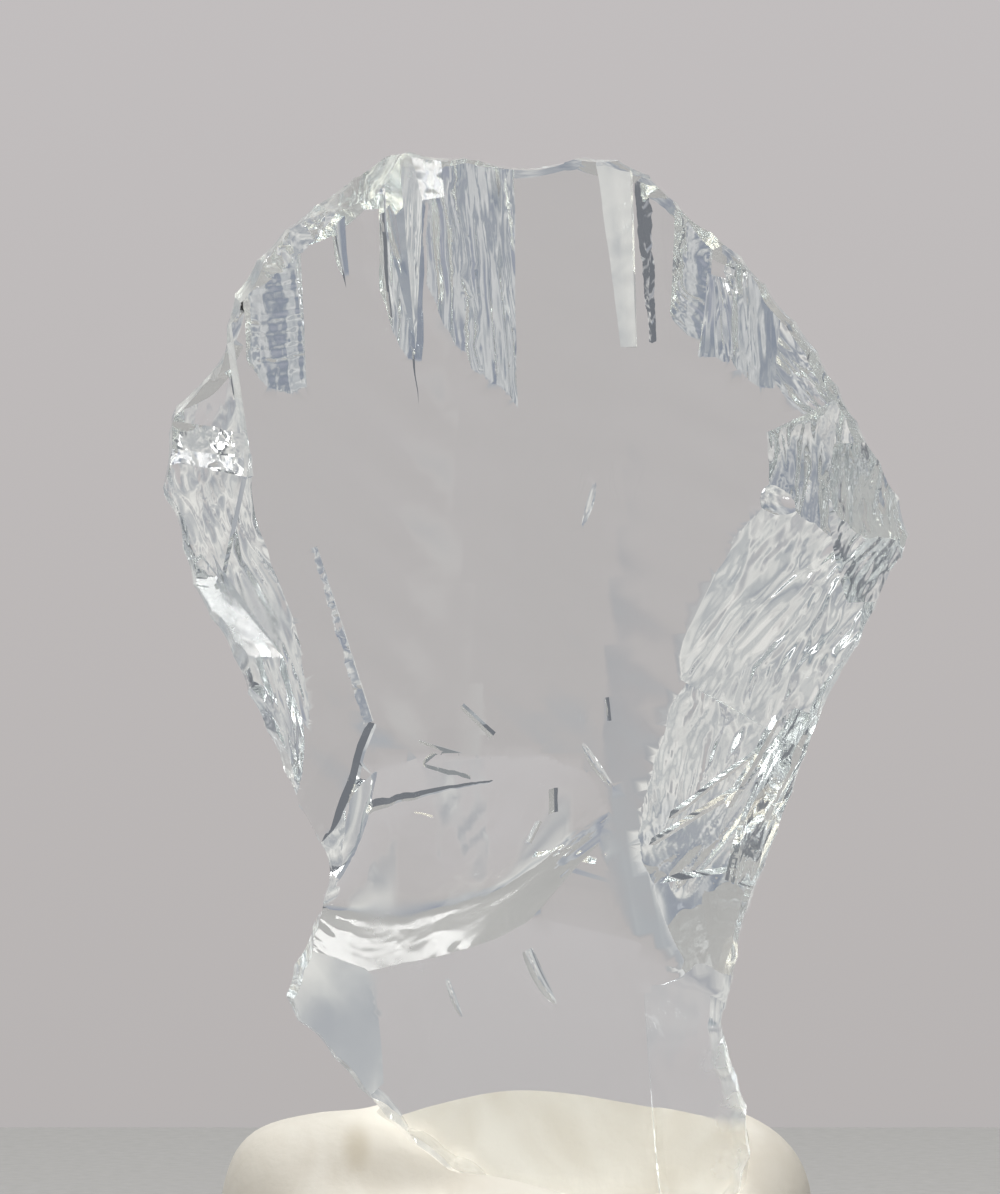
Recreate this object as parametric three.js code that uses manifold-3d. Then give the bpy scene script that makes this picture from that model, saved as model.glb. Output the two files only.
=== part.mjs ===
// Andara crystal: a fan-shaped piece of clear furnace glass, broken out of a larger block,
// standing upright in a pad of white mounting putty.
//
// Frame: millimetres, +Z up, the broad front face looks along -Y, the origin is under the pad,
// on the surface that it stands on.
//
// The glass is built as it was broken. A slab with the fan's outline is cut by tools, one for each
// break: flakes, which are shallow dished scars, and grooves, which are long notches with two walls.
// The flakes of the rim are made by a loop round the outline.

import * as THREE from "three";
import { ConvexGeometry } from "three/addons/geometries/ConvexGeometry.js";
import { mergeVertices } from "three/addons/utils/BufferGeometryUtils.js";
import Module from "manifold-3d";

const wasm = await Module();
wasm.setup();

// ---------------------------------------------------------------- driving dimensions

const SLAB_FRONT = -7.2; // depth of the slab's front face before any flake is struck
const SLAB_BACK = 7.2;
const FRONT = -1; // side of a break: the way out of the glass along Y
const BACK = 1;
const TOOL_HEIGHT = 22; // every tool reaches this far out of the glass
const CHIP_FRONT = -6.4; // depths that the rim chips reach, a little outside the broad faces
const CHIP_BACK = 6.2;
const SEAT_GAP = 0.4; // between the glass and the putty pressed round it
const PUTTY_TOP = 14; // height that the putty reaches up the glass

// The fan's outline as seen from the front, [x, z], clockwise from the left ledge.
const OUTLINE = [
  [-20.7, 51.0], [-20.5, 53.3], [-19.0, 55.0], [-17.4, 56.5], [-17.2, 58.2], [-16.7, 60.1],
  [-15.4, 62.3], [-13.7, 64.2], [-11.8, 65.8], [-9.8, 67.2], [-7.8, 68.7], [-6.2, 69.2],
  [-4.6, 68.7], [-2.9, 69.1], [-1.0, 68.3], [2.2, 68.1], [4.3, 68.9], [6.4, 68.5],
  [8.5, 67.8], [10.4, 65.8], [12.2, 63.9], [14.0, 63.0], [15.8, 60.5], [17.8, 58.3],
  [19.4, 55.7], [21.0, 52.8], [22.7, 49.8], [23.8, 47.4], [24.2, 45.3], [22.6, 42.6],
  [21.2, 39.3], [19.6, 36.6], [18.2, 33.3], [16.9, 29.7], [15.6, 26.1], [14.4, 23.1],
  [13.8, 19.5], [13.0, 16.5], [13.9, 14.1], [14.6, 10.8], [14.4, 6.9], [11.5, 4.7],
  [5.5, 4.3], [-0.5, 5.7], [-4.7, 8.4], [-8.8, 12.2], [-11.0, 15.0], [-13.7, 17.8],
  [-13.0, 20.4], [-11.5, 23.1], [-11.0, 26.5], [-12.5, 29.1], [-13.7, 32.1], [-15.4, 35.7],
  [-17.0, 39.3], [-19.1, 42.6], [-19.7, 45.3], [-20.6, 48.3],
];

// ---------------------------------------------------------------- solids and tools

function solidFrom(geometry) {
  const plain = new THREE.BufferGeometry().setAttribute("position", geometry.getAttribute("position"));
  if (geometry.index) plain.setIndex(geometry.index);
  const merged = mergeVertices(plain, 1e-4);
  return new wasm.Manifold(
    new wasm.Mesh({
      numProp: 3,
      vertProperties: merged.getAttribute("position").array,
      triVerts: new Uint32Array(merged.index.array),
    }),
  );
}

function geometryFrom(solid) {
  const mesh = solid.getMesh();
  return new THREE.BufferGeometry()
    .setAttribute("position", new THREE.BufferAttribute(new Float32Array(mesh.vertProperties), 3))
    .setIndex(new THREE.BufferAttribute(new Uint32Array(mesh.triVerts), 1));
}

// A repeatable run of numbers between 0 and 1, from the Park-Miller generator.
function seeded(seed) {
  let state = seed % 2147483647;
  return () => {
    state = (state * 16807) % 2147483647;
    return state / 2147483647;
  };
}

// A block whose underside is the surface w(u, v) and whose top is flat, in the frame u, v, out.
function patchBlock({ origin, across, along, out, halfU, halfV, steps, surface }) {
  const points = [];
  const faces = [];
  const [stepsU, stepsV] = steps;
  const columns = stepsU + 1;
  const layer = columns * (stepsV + 1);
  for (const isTop of [false, true]) {
    for (let k = 0; k < layer; k++) {
      const u = halfU * ((2 * (k % columns)) / stepsU - 1);
      const v = halfV * ((2 * Math.floor(k / columns)) / stepsV - 1);
      const w = isTop ? TOOL_HEIGHT : surface(u, v);
      const point = origin.clone().addScaledVector(across, u).addScaledVector(along, v);
      points.push(...point.addScaledVector(out, w));
    }
  }
  const quad = (a, b, c, d) => faces.push(a, b, c, a, c, d);
  const wall = (a, b) => quad(a, b, b + layer, a + layer);
  for (let j = 0; j < stepsV; j++) {
    const row = j * columns;
    for (let a = row; a < row + stepsU; a++) {
      quad(a, a + columns, a + columns + 1, a + 1);
      quad(layer + a, layer + a + 1, layer + a + columns + 1, layer + a + columns);
    }
    wall(row + stepsU, row + stepsU + columns);
    wall(row + columns, row);
  }
  for (let i = 0; i < stepsU; i++) {
    wall(i, i + 1);
    wall(layer - columns + i + 1, layer - columns + i);
  }
  const geometry = new THREE.BufferGeometry()
    .setAttribute("position", new THREE.BufferAttribute(new Float32Array(points), 3))
    .setIndex(faces);
  return solidFrom(geometry);
}

// Hackle: many long shallow bowls scattered over a patch; the deepest one wins at each point, so
// they meet in sharp arrises. angle turns them from the patch's u direction.
function hackleSurface({ count, angle, length, width, depth, seed }, halfU, halfV) {
  const random = seeded(seed);
  const cosine = Math.cos(THREE.MathUtils.degToRad(angle));
  const sine = Math.sin(THREE.MathUtils.degToRad(angle));
  const bowls = Array.from({ length: count }, () => ({
    u: (2 * random() - 1) * halfU,
    v: (2 * random() - 1) * halfV,
    depth: depth * (0.3 + 0.7 * random()),
    length: length * (0.6 + 0.8 * random()),
    width: width * (0.6 + 0.8 * random()),
    tilt: depth * (random() - 0.5),
  }));
  return (u, v) => {
    let deepest = 0;
    for (const bowl of bowls) {
      const lengthwise = ((u - bowl.u) * cosine + (v - bowl.v) * sine) / bowl.length;
      const crosswise = ((v - bowl.v) * cosine - (u - bowl.u) * sine) / bowl.width;
      const floor = -bowl.depth + bowl.tilt * crosswise;
      deepest = Math.min(deepest, floor + bowl.depth * (lengthwise ** 2 + crosswise ** 2));
    }
    return deepest;
  };
}

// A flake scar: a dished surface through two points on the rim and one inside the face.
// bow is how far it dishes across its width, dip along its length; spread is how far it runs on.
// A ripple is a sine along the scar, or across it; both it and hackle are left out of smooth scars.
function flake({ rim, inner, side, bow = 0, dip = 0, spread = [1.3, 1.5], steps = [4, 4], ripple, hackle }) {
  const [a, b] = rim.map((p) => new THREE.Vector3(...p));
  const middle = a.clone().add(b).multiplyScalar(0.5);
  const across = b.clone().sub(a);
  const halfU = across.length() / 2;
  across.normalize();
  const along = new THREE.Vector3(...inner).sub(middle);
  along.addScaledVector(across, -along.dot(across));
  const halfV = along.length() / 2;
  along.normalize();
  const out = across.clone().cross(along);
  if (out.y * side < 0) {
    out.negate();
    across.negate();
  }
  const rough = hackle && hackleSurface(hackle, halfU * spread[0], halfV * spread[1]);
  return patchBlock({
    origin: middle.addScaledVector(along, halfV),
    across,
    along,
    out,
    halfU: halfU * spread[0],
    halfV: halfV * spread[1],
    steps,
    surface: (u, v) => {
      let w = bow * ((u / halfU) ** 2 - 1) + dip * ((v / halfV) ** 2 - 1);
      if (ripple) w += ripple.height * Math.sin((2 * Math.PI * (ripple.across ? u : v)) / ripple.pitch);
      if (rough) w += rough(u, v);
      return w;
    },
  });
}

// A groove: two walls that meet along the line from -> to. Each wall is [run, rise] from that line.
function groove({ from, to, side, left, right, overrun = 1 }) {
  const start = new THREE.Vector3(...from);
  const end = new THREE.Vector3(...to);
  const along = end.clone().sub(start).normalize();
  const lateral = new THREE.Vector3(0, side, 0).cross(along).normalize();
  const out = along.clone().cross(lateral);
  const [minus, plus] = lateral.x > 0 ? [left, right] : [right, left];
  const section = new THREE.Shape([
    new THREE.Vector2(0, 0),
    new THREE.Vector2(plus[0], plus[1]),
    new THREE.Vector2(plus[0], TOOL_HEIGHT),
    new THREE.Vector2(-minus[0], TOOL_HEIGHT),
    new THREE.Vector2(-minus[0], minus[1]),
  ]);
  const depth = start.distanceTo(end) + 2 * overrun;
  const geometry = new THREE.ExtrudeGeometry(section, { depth, bevelEnabled: false });
  const origin = start.addScaledVector(along, -overrun);
  geometry.applyMatrix4(new THREE.Matrix4().makeBasis(lateral, out, along).setPosition(origin));
  return solidFrom(geometry);
}

// ---------------------------------------------------------------- the glass

function slab() {
  const outline = new THREE.Shape(OUTLINE.map(([x, z]) => new THREE.Vector2(x, z)));
  const depth = SLAB_BACK - SLAB_FRONT;
  const geometry = new THREE.ExtrudeGeometry(outline, { depth, bevelEnabled: false });
  geometry.rotateX(Math.PI / 2);
  geometry.translate(0, SLAB_BACK, 0);
  return solidFrom(geometry);
}

// The broad faces, three long shallow scars to a side that fan out from the foot.
const BROAD_FACES = [
  { side: FRONT, rim: [[-22, -5.3, 40], [4, -7.0, 38]], inner: [-6, -5.4, 66], bow: 0.35, spread: [1.5, 4] },
  { side: FRONT, rim: [[-6, -6.8, 40], [12, -6.7, 40]], inner: [3, -5.3, 66], bow: 0.2, spread: [3.5, 4] },
  { side: FRONT, rim: [[3, -6.9, 38], [24, -5.2, 42]], inner: [13, -5.1, 66], bow: 0.3, spread: [1.6, 4] },
  { side: BACK, rim: [[-22, 5.0, 40], [2, 6.9, 38]], inner: [-8, 5.0, 66], bow: 0.3, spread: [1.5, 4] },
  { side: BACK, rim: [[-8, 6.7, 38], [10, 6.6, 38]], inner: [1, 5.2, 66], bow: 0.2, spread: [3.5, 4] },
  { side: BACK, rim: [[2, 6.9, 38], [24, 4.8, 42]], inner: [12, 4.9, 66], bow: 0.3, spread: [1.6, 4] },
];

// Large scars that take the thickness down towards the two sides.
const SIDE_SCARS = [
  // right, behind: five long bevels, rough with hackle, from the widest point down to the foot
  {
    side: BACK, rim: [[20.5, 0.5, 53.7], [24.4, 0.2, 45.2]], inner: [16.2, 5.2, 48.5],
    bow: 0.5, spread: [1.15, 1.6], steps: [10, 6],
    hackle: { count: 26, angle: 60, length: 2.6, width: 0.9, depth: 0.5, seed: 11 },
  },
  {
    side: BACK, rim: [[24.2, 0.4, 45.2], [19.2, 0.8, 35.7]], inner: [13.4, 5.7, 43.0],
    bow: 0.4, spread: [1.15, 1.6], steps: [11, 9],
    hackle: { count: 34, angle: 20, length: 3.0, width: 1.0, depth: 0.55, seed: 12 },
  },
  {
    side: BACK, rim: [[19.6, 0.8, 36.6], [15.4, 0.9, 25.8]], inner: [8.9, 6.2, 34.0],
    bow: 0.4, spread: [1.1, 1.6], steps: [11, 9],
    hackle: { count: 34, angle: 30, length: 3.0, width: 1.1, depth: 0.55, seed: 13 },
  },
  {
    side: BACK, rim: [[15.8, 1.0, 26.6], [13.6, 1.2, 18.4]], inner: [8.5, 6.6, 23.4],
    bow: 0.3, spread: [1.1, 1.6], steps: [10, 8],
    hackle: { count: 16, angle: 20, length: 2.6, width: 1.0, depth: 0.35, seed: 14 },
  },
  {
    side: BACK, rim: [[13.2, 1.5, 19.4], [14.6, 1.0, 4.5]], inner: [8.8, 6.9, 12.6],
    bow: 0.4, spread: [1.1, 1.6], steps: [8, 6],
  },
  // right, in front: two smooth bevels at the widest point and below it
  {
    side: FRONT, rim: [[22.4, -2.6, 51.0], [23.0, -2.9, 42.4]], inner: [19.4, -5.4, 46.6],
    bow: 0.3, spread: [1.1, 1.4], steps: [5, 3],
  },
  {
    side: FRONT, rim: [[18.8, -3.4, 34.4], [15.4, -3.6, 25.0]], inner: [14.4, -6.6, 31.0],
    bow: 0.3, spread: [1.1, 1.4], steps: [5, 3],
  },
  // left, behind: three narrow bevels
  {
    side: BACK, rim: [[-20.8, 2.0, 49.8], [-19.0, 1.6, 41.8]], inner: [-14.2, 5.4, 46.6],
    bow: 0.3, spread: [1.15, 1.6], steps: [10, 8],
    hackle: { count: 20, angle: 140, length: 2.0, width: 0.8, depth: 0.45, seed: 21 },
  },
  {
    side: BACK, rim: [[-19.4, 1.6, 43.4], [-15.2, 1.2, 35.0]], inner: [-13.0, 5.7, 40.8],
    bow: 0.3, spread: [1.1, 1.6], steps: [10, 8],
    hackle: { count: 18, angle: 150, length: 2.4, width: 0.8, depth: 0.4, seed: 22 },
  },
  {
    side: BACK, rim: [[-15.6, 1.2, 36.0], [-10.8, 1.0, 25.6]], inner: [-10.9, 6.0, 32.2],
    bow: 0.2, spread: [1.1, 1.6], steps: [10, 6],
    hackle: { count: 14, angle: 160, length: 2.4, width: 0.7, depth: 0.3, seed: 23 },
  },
  // left, in front: the smooth scar that ends in the dark ledge
  {
    side: FRONT, rim: [[-18.0, -4.2, 45.0], [-11.6, -3.8, 27.6]], inner: [-9.2, -6.3, 38.6],
    bow: 0.5, spread: [1.05, 1.5], steps: [8, 5],
  },
];

// Flutes down from the top edge, left to right. Each is struck from the rim on one side.
const FLUTES = [
  {
    side: BACK, rim: [[-16.8, 1.6, 60.2], [-12.0, 1.2, 65.6]], inner: [-12.9, 5.2, 54.4],
    bow: 0.5, spread: [1.05, 1.5], steps: [6, 12], ripple: { height: 0.12, pitch: 1.7 },
  },
  {
    side: BACK, rim: [[-12.4, 2.8, 65.4], [-9.8, 3.0, 67.4]], inner: [-10.2, 5.4, 56.0],
    bow: 0.3, spread: [1.0, 1.5],
  },
  {
    side: BACK, rim: [[-7.6, 0.6, 69.0], [-4.8, 0.4, 69.0]], inner: [-5.4, 5.7, 54.6],
    bow: 0.5, spread: [1.0, 1.4], steps: [6, 6],
  },
  {
    side: BACK, rim: [[-4.8, 0.8, 69.2], [0.2, 0.4, 68.6]], inner: [-1.0, 5.9, 53.6],
    bow: 0.3, spread: [1.0, 1.4], steps: [20, 4], ripple: { height: 0.16, pitch: 0.8, across: true },
  },
  {
    side: BACK, rim: [[8.8, 1.6, 67.6], [13.2, 0.8, 63.4]], inner: [10.4, 5.3, 57.4],
    bow: 0.4, spread: [1.0, 1.5], steps: [6, 10], ripple: { height: 0.12, pitch: 1.1 },
  },
  {
    side: BACK, rim: [[13.6, 0.8, 63.4], [20.6, 0.2, 53.4]], inner: [14.6, 5.2, 54.4],
    bow: 0.7, spread: [1.0, 1.5], steps: [10, 7],
    hackle: { count: 24, angle: 55, length: 2.4, width: 0.7, depth: 0.35, seed: 31 },
  },
  {
    side: FRONT, rim: [[11.0, -2.6, 65.2], [15.6, -2.4, 61.0]], inner: [12.4, -5.6, 56.0],
    bow: 0.4, spread: [1.0, 1.5], steps: [14, 4], ripple: { height: 0.1, pitch: 0.9, across: true },
  },
  {
    side: FRONT, rim: [[-16.0, -2.2, 61.4], [-9.8, -2.4, 67.4]], inner: [-11.4, -5.3, 62.2],
    bow: 0.4, spread: [1.0, 1.4],
  },
];

// Bowls and smooth scars low in the front face.
const LOWER_SCARS = [
  // the great bowl, steep at its lower rim
  {
    side: FRONT, rim: [[-12.6, -4.6, 22.0], [3.6, -5.0, 18.6]], inner: [-3.2, -6.9, 33.0],
    bow: 0.9, dip: 0.5, spread: [1.15, 1.3], steps: [12, 10],
  },
  // the smooth face below it
  {
    side: FRONT, rim: [[-11.0, -4.2, 9.6], [12.0, -3.6, 4.0]], inner: [3.0, -6.3, 22.5],
    bow: 0.5, dip: 0.2, spread: [1.15, 1.3], steps: [8, 8],
  },
  // the facet at the lower left corner
  {
    side: FRONT, rim: [[-13.9, -1.6, 18.0], [-9.2, -2.2, 12.6]], inner: [-9.4, -5.6, 19.8],
    bow: 0.15, spread: [1.2, 1.4],
  },
];

// Grooves and ledges with straight walls.
const GROOVES = [
  // the pointed notch between the second and third flutes
  {
    side: FRONT, from: [-6.6, -2.6, 69.6], to: [-5.2, -6.1, 53.6],
    left: [1.0, 1.1], right: [1.6, 2.2],
  },
  // the bright flute with a dark right wall and a flat lower end
  {
    side: FRONT, from: [7.3, -3.2, 69.2], to: [7.5, -4.9, 56.6],
    left: [2.4, 1.0], right: [1.3, 2.6], overrun: 0,
  },
  // the block that sits lower beside the upper left edge: its side, then the shelf below it
  {
    side: FRONT, from: [-17.2, -2.6, 60.0], to: [-15.6, -3.2, 49.6],
    left: [6.0, 0.2], right: [0.7, 4.0], overrun: 0.4,
  },
  {
    side: FRONT, from: [-15.8, -2.4, 49.4], to: [-21.6, -1.8, 50.6],
    left: [6.6, 0.9], right: [1.4, 2.2], overrun: 0.3,
  },
  // the dark ledge low on the left
  {
    side: FRONT, from: [-7.6, -5.2, 34.2], to: [-12.0, -3.7, 22.4],
    left: [5.0, 1.6], right: [0.7, 2.6], overrun: 0.4,
  },
];

// The rim is chipped all round from both sides. For each stretch of the outline, by point number:
// the depth of the ridge that the chips leave, and how far they reach in, in front and behind.
const RIM_STRETCHES = [
  { first: 0, last: 3, ridge: 1.2, front: 0.5, back: 1.6 },
  { first: 4, last: 9, ridge: -0.8, front: 0.8, back: 1.0 },
  { first: 10, last: 11, ridge: -0.6, front: 1.6, back: 2.2 },
  { first: 12, last: 17, ridge: -1.4, front: 0.6, back: 0.7 },
  { first: 18, last: 23, ridge: -1.6, front: 0.8, back: 1.2 },
  { first: 24, last: 31, ridge: -2.4, front: 0.9, back: 2.2 },
  { first: 32, last: 37, ridge: -3.0, front: 0.9, back: 1.8 },
  { first: 38, last: 46, ridge: -0.5, front: 1.0, back: 1.2 },
  { first: 47, last: 50, ridge: 0.0, front: 0.8, back: 1.6 },
  { first: 51, last: 57, ridge: -1.0, front: 1.1, back: 1.8 },
];
const RIM_SCATTER = 0.35; // how far the ridge wanders from point to point

function rimChips() {
  const random = seeded(77);
  const count = OUTLINE.length;
  const stretchOf = (i) => RIM_STRETCHES.find(({ first, last }) => i >= first && i <= last);
  const ridge = OUTLINE.map((_, i) => stretchOf(i).ridge + RIM_SCATTER * (2 * random() - 1));
  const chips = [];
  OUTLINE.forEach(([x, z], i) => {
    const j = (i + 1) % count;
    const [nextX, nextZ] = OUTLINE[j];
    const edge = Math.hypot(nextX - x, nextZ - z);
    const inwardX = (nextZ - z) / edge;
    const inwardZ = -(nextX - x) / edge;
    const { front, back } = stretchOf(i);
    for (const [side, reach, face] of [[FRONT, front, CHIP_FRONT], [BACK, back, CHIP_BACK]]) {
      const run = reach * (0.5 + random());
      chips.push({
        rim: [[x, ridge[i], z], [nextX, ridge[j], nextZ]],
        inner: [(x + nextX) / 2 + inwardX * run, face, (z + nextZ) / 2 + inwardZ * run],
        side,
        bow: 0.12 + 0.2 * random(),
        spread: [1.15, 1.15],
        steps: [2, 2],
      });
    }
  });
  return chips;
}

function crystal() {
  let glass = slab();
  for (const scar of [...BROAD_FACES, ...SIDE_SCARS, ...FLUTES, ...LOWER_SCARS]) {
    glass = glass.subtract(flake(scar));
  }
  for (const notch of GROOVES) glass = glass.subtract(groove(notch));
  for (const chip of rimChips()) glass = glass.subtract(flake(chip));
  const [largest] = glass.decompose().sort((a, b) => b.volume() - a.volume());
  return largest; // splinters that a chip cuts right off are dropped
}

// ---------------------------------------------------------------- the putty

const PUTTY_CENTRE = new THREE.Vector3(0, 1.5, 3.2);
const PUTTY_RADII = new THREE.Vector3(17.6, 13.2, 9.2);
// Lobes and dents pressed by fingers: a direction from the centre, the height there, the width in degrees.
const PUTTY_LOBES = [
  { towards: [-1.0, -0.25, 0.62], height: 1.6, width: 26 },
  { towards: [0.2, 0.8, 0.75], height: 1.8, width: 38 },
  { towards: [-0.5, -0.75, 0.7], height: -2.2, width: 16 },
  { towards: [0.25, -1.0, 0.25], height: 1.2, width: 34 },
  { towards: [0.75, -0.7, 0.75], height: -2.6, width: 30 },
  { towards: [1.0, 0.3, 0.35], height: 1.0, width: 30 },
  { towards: [-0.8, 0.7, 0.4], height: -1.0, width: 28 },
];
const PUTTY_SEGMENTS = [44, 26];

function puttyLump() {
  const lump = new THREE.SphereGeometry(1, ...PUTTY_SEGMENTS);
  lump.rotateX(Math.PI / 2);
  const lobes = PUTTY_LOBES.map(({ towards, ...lobe }) => ({
    ...lobe,
    towards: new THREE.Vector3(...towards).normalize(),
  }));
  const position = lump.getAttribute("position");
  const point = new THREE.Vector3();
  for (let i = 0; i < position.count; i++) {
    const direction = point.fromBufferAttribute(position, i).clone();
    point.multiply(PUTTY_RADII);
    for (const { towards, height, width } of lobes) {
      const angle = THREE.MathUtils.radToDeg(direction.angleTo(towards));
      point.addScaledVector(direction, height * Math.exp(-((angle / width) ** 2)));
    }
    point.add(PUTTY_CENTRE);
    position.setXYZ(i, point.x, point.y, point.z);
  }
  return solidFrom(lump);
}

// The pocket is the hull of the glass's foot, grown by the seat gap on every side.
function pocket(glass) {
  const foot = geometryFrom(glass.trimByPlane([0, 0, -1], -PUTTY_TOP));
  const position = foot.getAttribute("position");
  const points = Array.from({ length: position.count }, (_, i) =>
    new THREE.Vector3().fromBufferAttribute(position, i),
  );
  const hull = new ConvexGeometry(points);
  hull.computeBoundingBox();
  const middle = hull.boundingBox.getCenter(new THREE.Vector3());
  const size = hull.boundingBox.getSize(new THREE.Vector3());
  hull.translate(-middle.x, -middle.y, -middle.z);
  hull.scale(...size.toArray().map((length) => 1 + (2 * SEAT_GAP) / length));
  hull.translate(middle.x, middle.y, middle.z);
  return solidFrom(hull);
}

// The base is pressed flat where it stands.
function putty(glass) {
  const below = solidFrom(new THREE.BoxGeometry(60, 60, 20).translate(0, 0, -10));
  return puttyLump().subtract(below).subtract(pocket(glass));
}

// ---------------------------------------------------------------- the object

const root = new THREE.Group();
const glassMaterial = new THREE.MeshStandardMaterial({ color: 0xdfe8ea, roughness: 0.03, metalness: 0 });
const puttyMaterial = new THREE.MeshStandardMaterial({ color: 0xe9e4dc, roughness: 0.7, metalness: 0 });

function piece(name, solid, material) {
  const mesh = new THREE.Mesh(geometryFrom(solid), material);
  mesh.name = name;
  root.add(mesh);
}

const glass = crystal();
piece("crystal", glass, glassMaterial);
piece("putty_stand", putty(glass), puttyMaterial);

export default root;
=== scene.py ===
# %% [markdown]
# # A broken piece of clear glass on its pad of putty
#
# The object is a fan-shaped lump of clear furnace glass, broken out of a bigger block, and the pad of
# white mounting putty that holds it up. Clear glass has no colour pattern to lean on: what the eye reads is
# how each broken face bends the light. So nearly all the work is in the shape of the faces, and the
# material stays simple.
#
# The glass is made the way it was broken: a slab is cut by tools, one for each break. The tools carry the
# ripples, lines and splinters, and leave them on the glass. It could also be sculpted or displaced from a
# plain block, but then the sharp ridges between two breaks would go soft, and those ridges are what sparkles.

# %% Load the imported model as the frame
import math

import bmesh
import bpy
import numpy as np
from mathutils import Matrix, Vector


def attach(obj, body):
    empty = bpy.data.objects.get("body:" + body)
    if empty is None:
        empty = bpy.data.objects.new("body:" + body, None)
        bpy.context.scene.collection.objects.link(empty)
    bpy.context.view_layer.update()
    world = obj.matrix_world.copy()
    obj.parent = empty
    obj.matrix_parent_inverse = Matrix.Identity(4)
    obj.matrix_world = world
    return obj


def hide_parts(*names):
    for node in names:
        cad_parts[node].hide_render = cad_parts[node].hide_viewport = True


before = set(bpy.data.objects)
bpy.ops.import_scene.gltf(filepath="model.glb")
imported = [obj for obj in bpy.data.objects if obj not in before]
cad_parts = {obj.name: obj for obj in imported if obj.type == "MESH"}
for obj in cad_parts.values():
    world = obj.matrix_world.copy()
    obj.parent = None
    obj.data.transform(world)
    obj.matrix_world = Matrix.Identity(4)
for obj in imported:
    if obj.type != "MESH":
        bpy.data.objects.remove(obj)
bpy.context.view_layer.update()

MM = 0.001  # the sizes below are in millimetres, and each mesh is scaled to metres when it is made

# %% [markdown]
# ## Camera
#
# A long lens from half a metre away, level with the middle of the glass, keeps the two broad faces square to
# the view, as a catalogue picture of a small specimen does. A short lens close by would show the rim's
# depth on every side and make the fan look fatter than it is.

# %% Camera
CAMERA_DISTANCE = 500.0
CAMERA_AIM = (-0.48, 0.0, 42.2)
PICTURE_HEIGHT_AT_OBJECT = 71.64
SENSOR = 36.0


def make_camera():
    data = bpy.data.cameras.new("camera")
    data.sensor_width = SENSOR
    data.lens = SENSOR * CAMERA_DISTANCE / PICTURE_HEIGHT_AT_OBJECT
    data.clip_start = 0.01
    camera = bpy.data.objects.new("camera", data)
    bpy.context.scene.collection.objects.link(camera)
    x, y, z = CAMERA_AIM
    camera.location = Vector((x, y - CAMERA_DISTANCE, z)) * MM
    camera.rotation_euler = (math.radians(90), 0, 0)
    bpy.context.scene.camera = camera
    return camera


camera = make_camera()
print("lens, mm:", round(camera.data.lens, 1))

# %% [markdown]
# ## Materials: small helpers
#
# Every finish below is a short node tree. These helpers only save typing: one makes a material with an
# empty tree, one adds a node with its values set. Numbers that are the same all over a surface are typed
# straight into the shader's sockets, so that they survive an export.


# %% Node helpers
def new_material(name):
    material = bpy.data.materials.new(name)
    material.use_nodes = True
    material.node_tree.nodes.clear()
    return material


def add_node(tree, kind, **values):
    node = tree.nodes.new(kind)
    for key, value in values.items():
        if key in node.inputs:
            node.inputs[key].default_value = value
        else:
            setattr(node, key, value)
    return node


def feed(tree, node, *sources):
    """Joins or sets the node's inputs in order, skipping None, and gives its first output, if any."""
    sockets = [socket for socket in node.inputs if socket.enabled]
    for socket, source in zip(sockets, sources):
        if isinstance(source, bpy.types.NodeSocket):
            tree.links.new(source, socket)
        elif source is not None:
            socket.default_value = source
    return next((socket for socket in node.outputs if socket.enabled), None)


def set_ramp(ramp, stops):
    """Colour ramp stops as (position, (red, green, blue))."""
    while len(ramp.elements) > 1:
        ramp.elements.remove(ramp.elements[-1])
    first = True
    for position, colour in stops:
        element = ramp.elements[0] if first else ramp.elements.new(position)
        element.position = position
        element.color = (*colour, 1.0)
        first = False


# %% [markdown]
# ## Table and studio light
#
# Glass shows its surroundings, so the light is designed as what the glass sees. Straight through, at the
# height of the horizon, lies a plain grey backdrop. A face that bends the view downwards looks past the back
# edge of the table into shade; one that bends it upwards finds a bright ceiling. That is why the table ends
# a hand's breadth behind the glass.

# %% Table
TABLE_BACK = 163.0
TABLE_REACH = 700.0
TABLE_THICK = 4.0


def table_material():
    material = new_material("pale_table")
    tree = material.node_tree
    place = add_node(tree, "ShaderNodeTexCoord")
    grain = add_node(tree, "ShaderNodeTexNoise", Scale=900.0, Detail=4.0, Roughness=0.6)
    shade = add_node(tree, "ShaderNodeValToRGB")
    set_ramp(shade.color_ramp, [(0.3, (0.36, 0.35, 0.34)), (0.7, (0.41, 0.40, 0.39))])
    surface = add_node(tree, "ShaderNodeBsdfPrincipled", Roughness=0.85)
    output = add_node(tree, "ShaderNodeOutputMaterial")
    tree.links.new(place.outputs["Object"], grain.inputs["Vector"])
    tree.links.new(grain.outputs["Fac"], shade.inputs["Fac"])
    tree.links.new(shade.outputs["Color"], surface.inputs["Base Color"])
    tree.links.new(surface.outputs["BSDF"], output.inputs["Surface"])
    return material


def box(low, high):
    """The corners and the sides of a box between two opposite corners."""
    corners = [(x, y, z) for z in (low[2], high[2]) for y in (low[1], high[1]) for x in (low[0], high[0])]
    sides = [(0, 2, 3, 1), (4, 5, 7, 6), (0, 1, 5, 4), (2, 6, 7, 3), (0, 4, 6, 2), (1, 3, 7, 5)]
    return corners, sides


def make_table():
    corners, sides = box((-TABLE_REACH, -TABLE_REACH, -TABLE_THICK), (TABLE_REACH, TABLE_BACK, 0.0))
    mesh = bpy.data.meshes.new("table")
    mesh.from_pydata([Vector(corner) * MM for corner in corners], [], sides)
    table = bpy.data.objects.new("table", mesh)
    bpy.context.scene.collection.objects.link(table)
    mesh.materials.append(table_material())
    return table


table = make_table()
print("table ends behind the glass at, mm:", TABLE_BACK)

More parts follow.
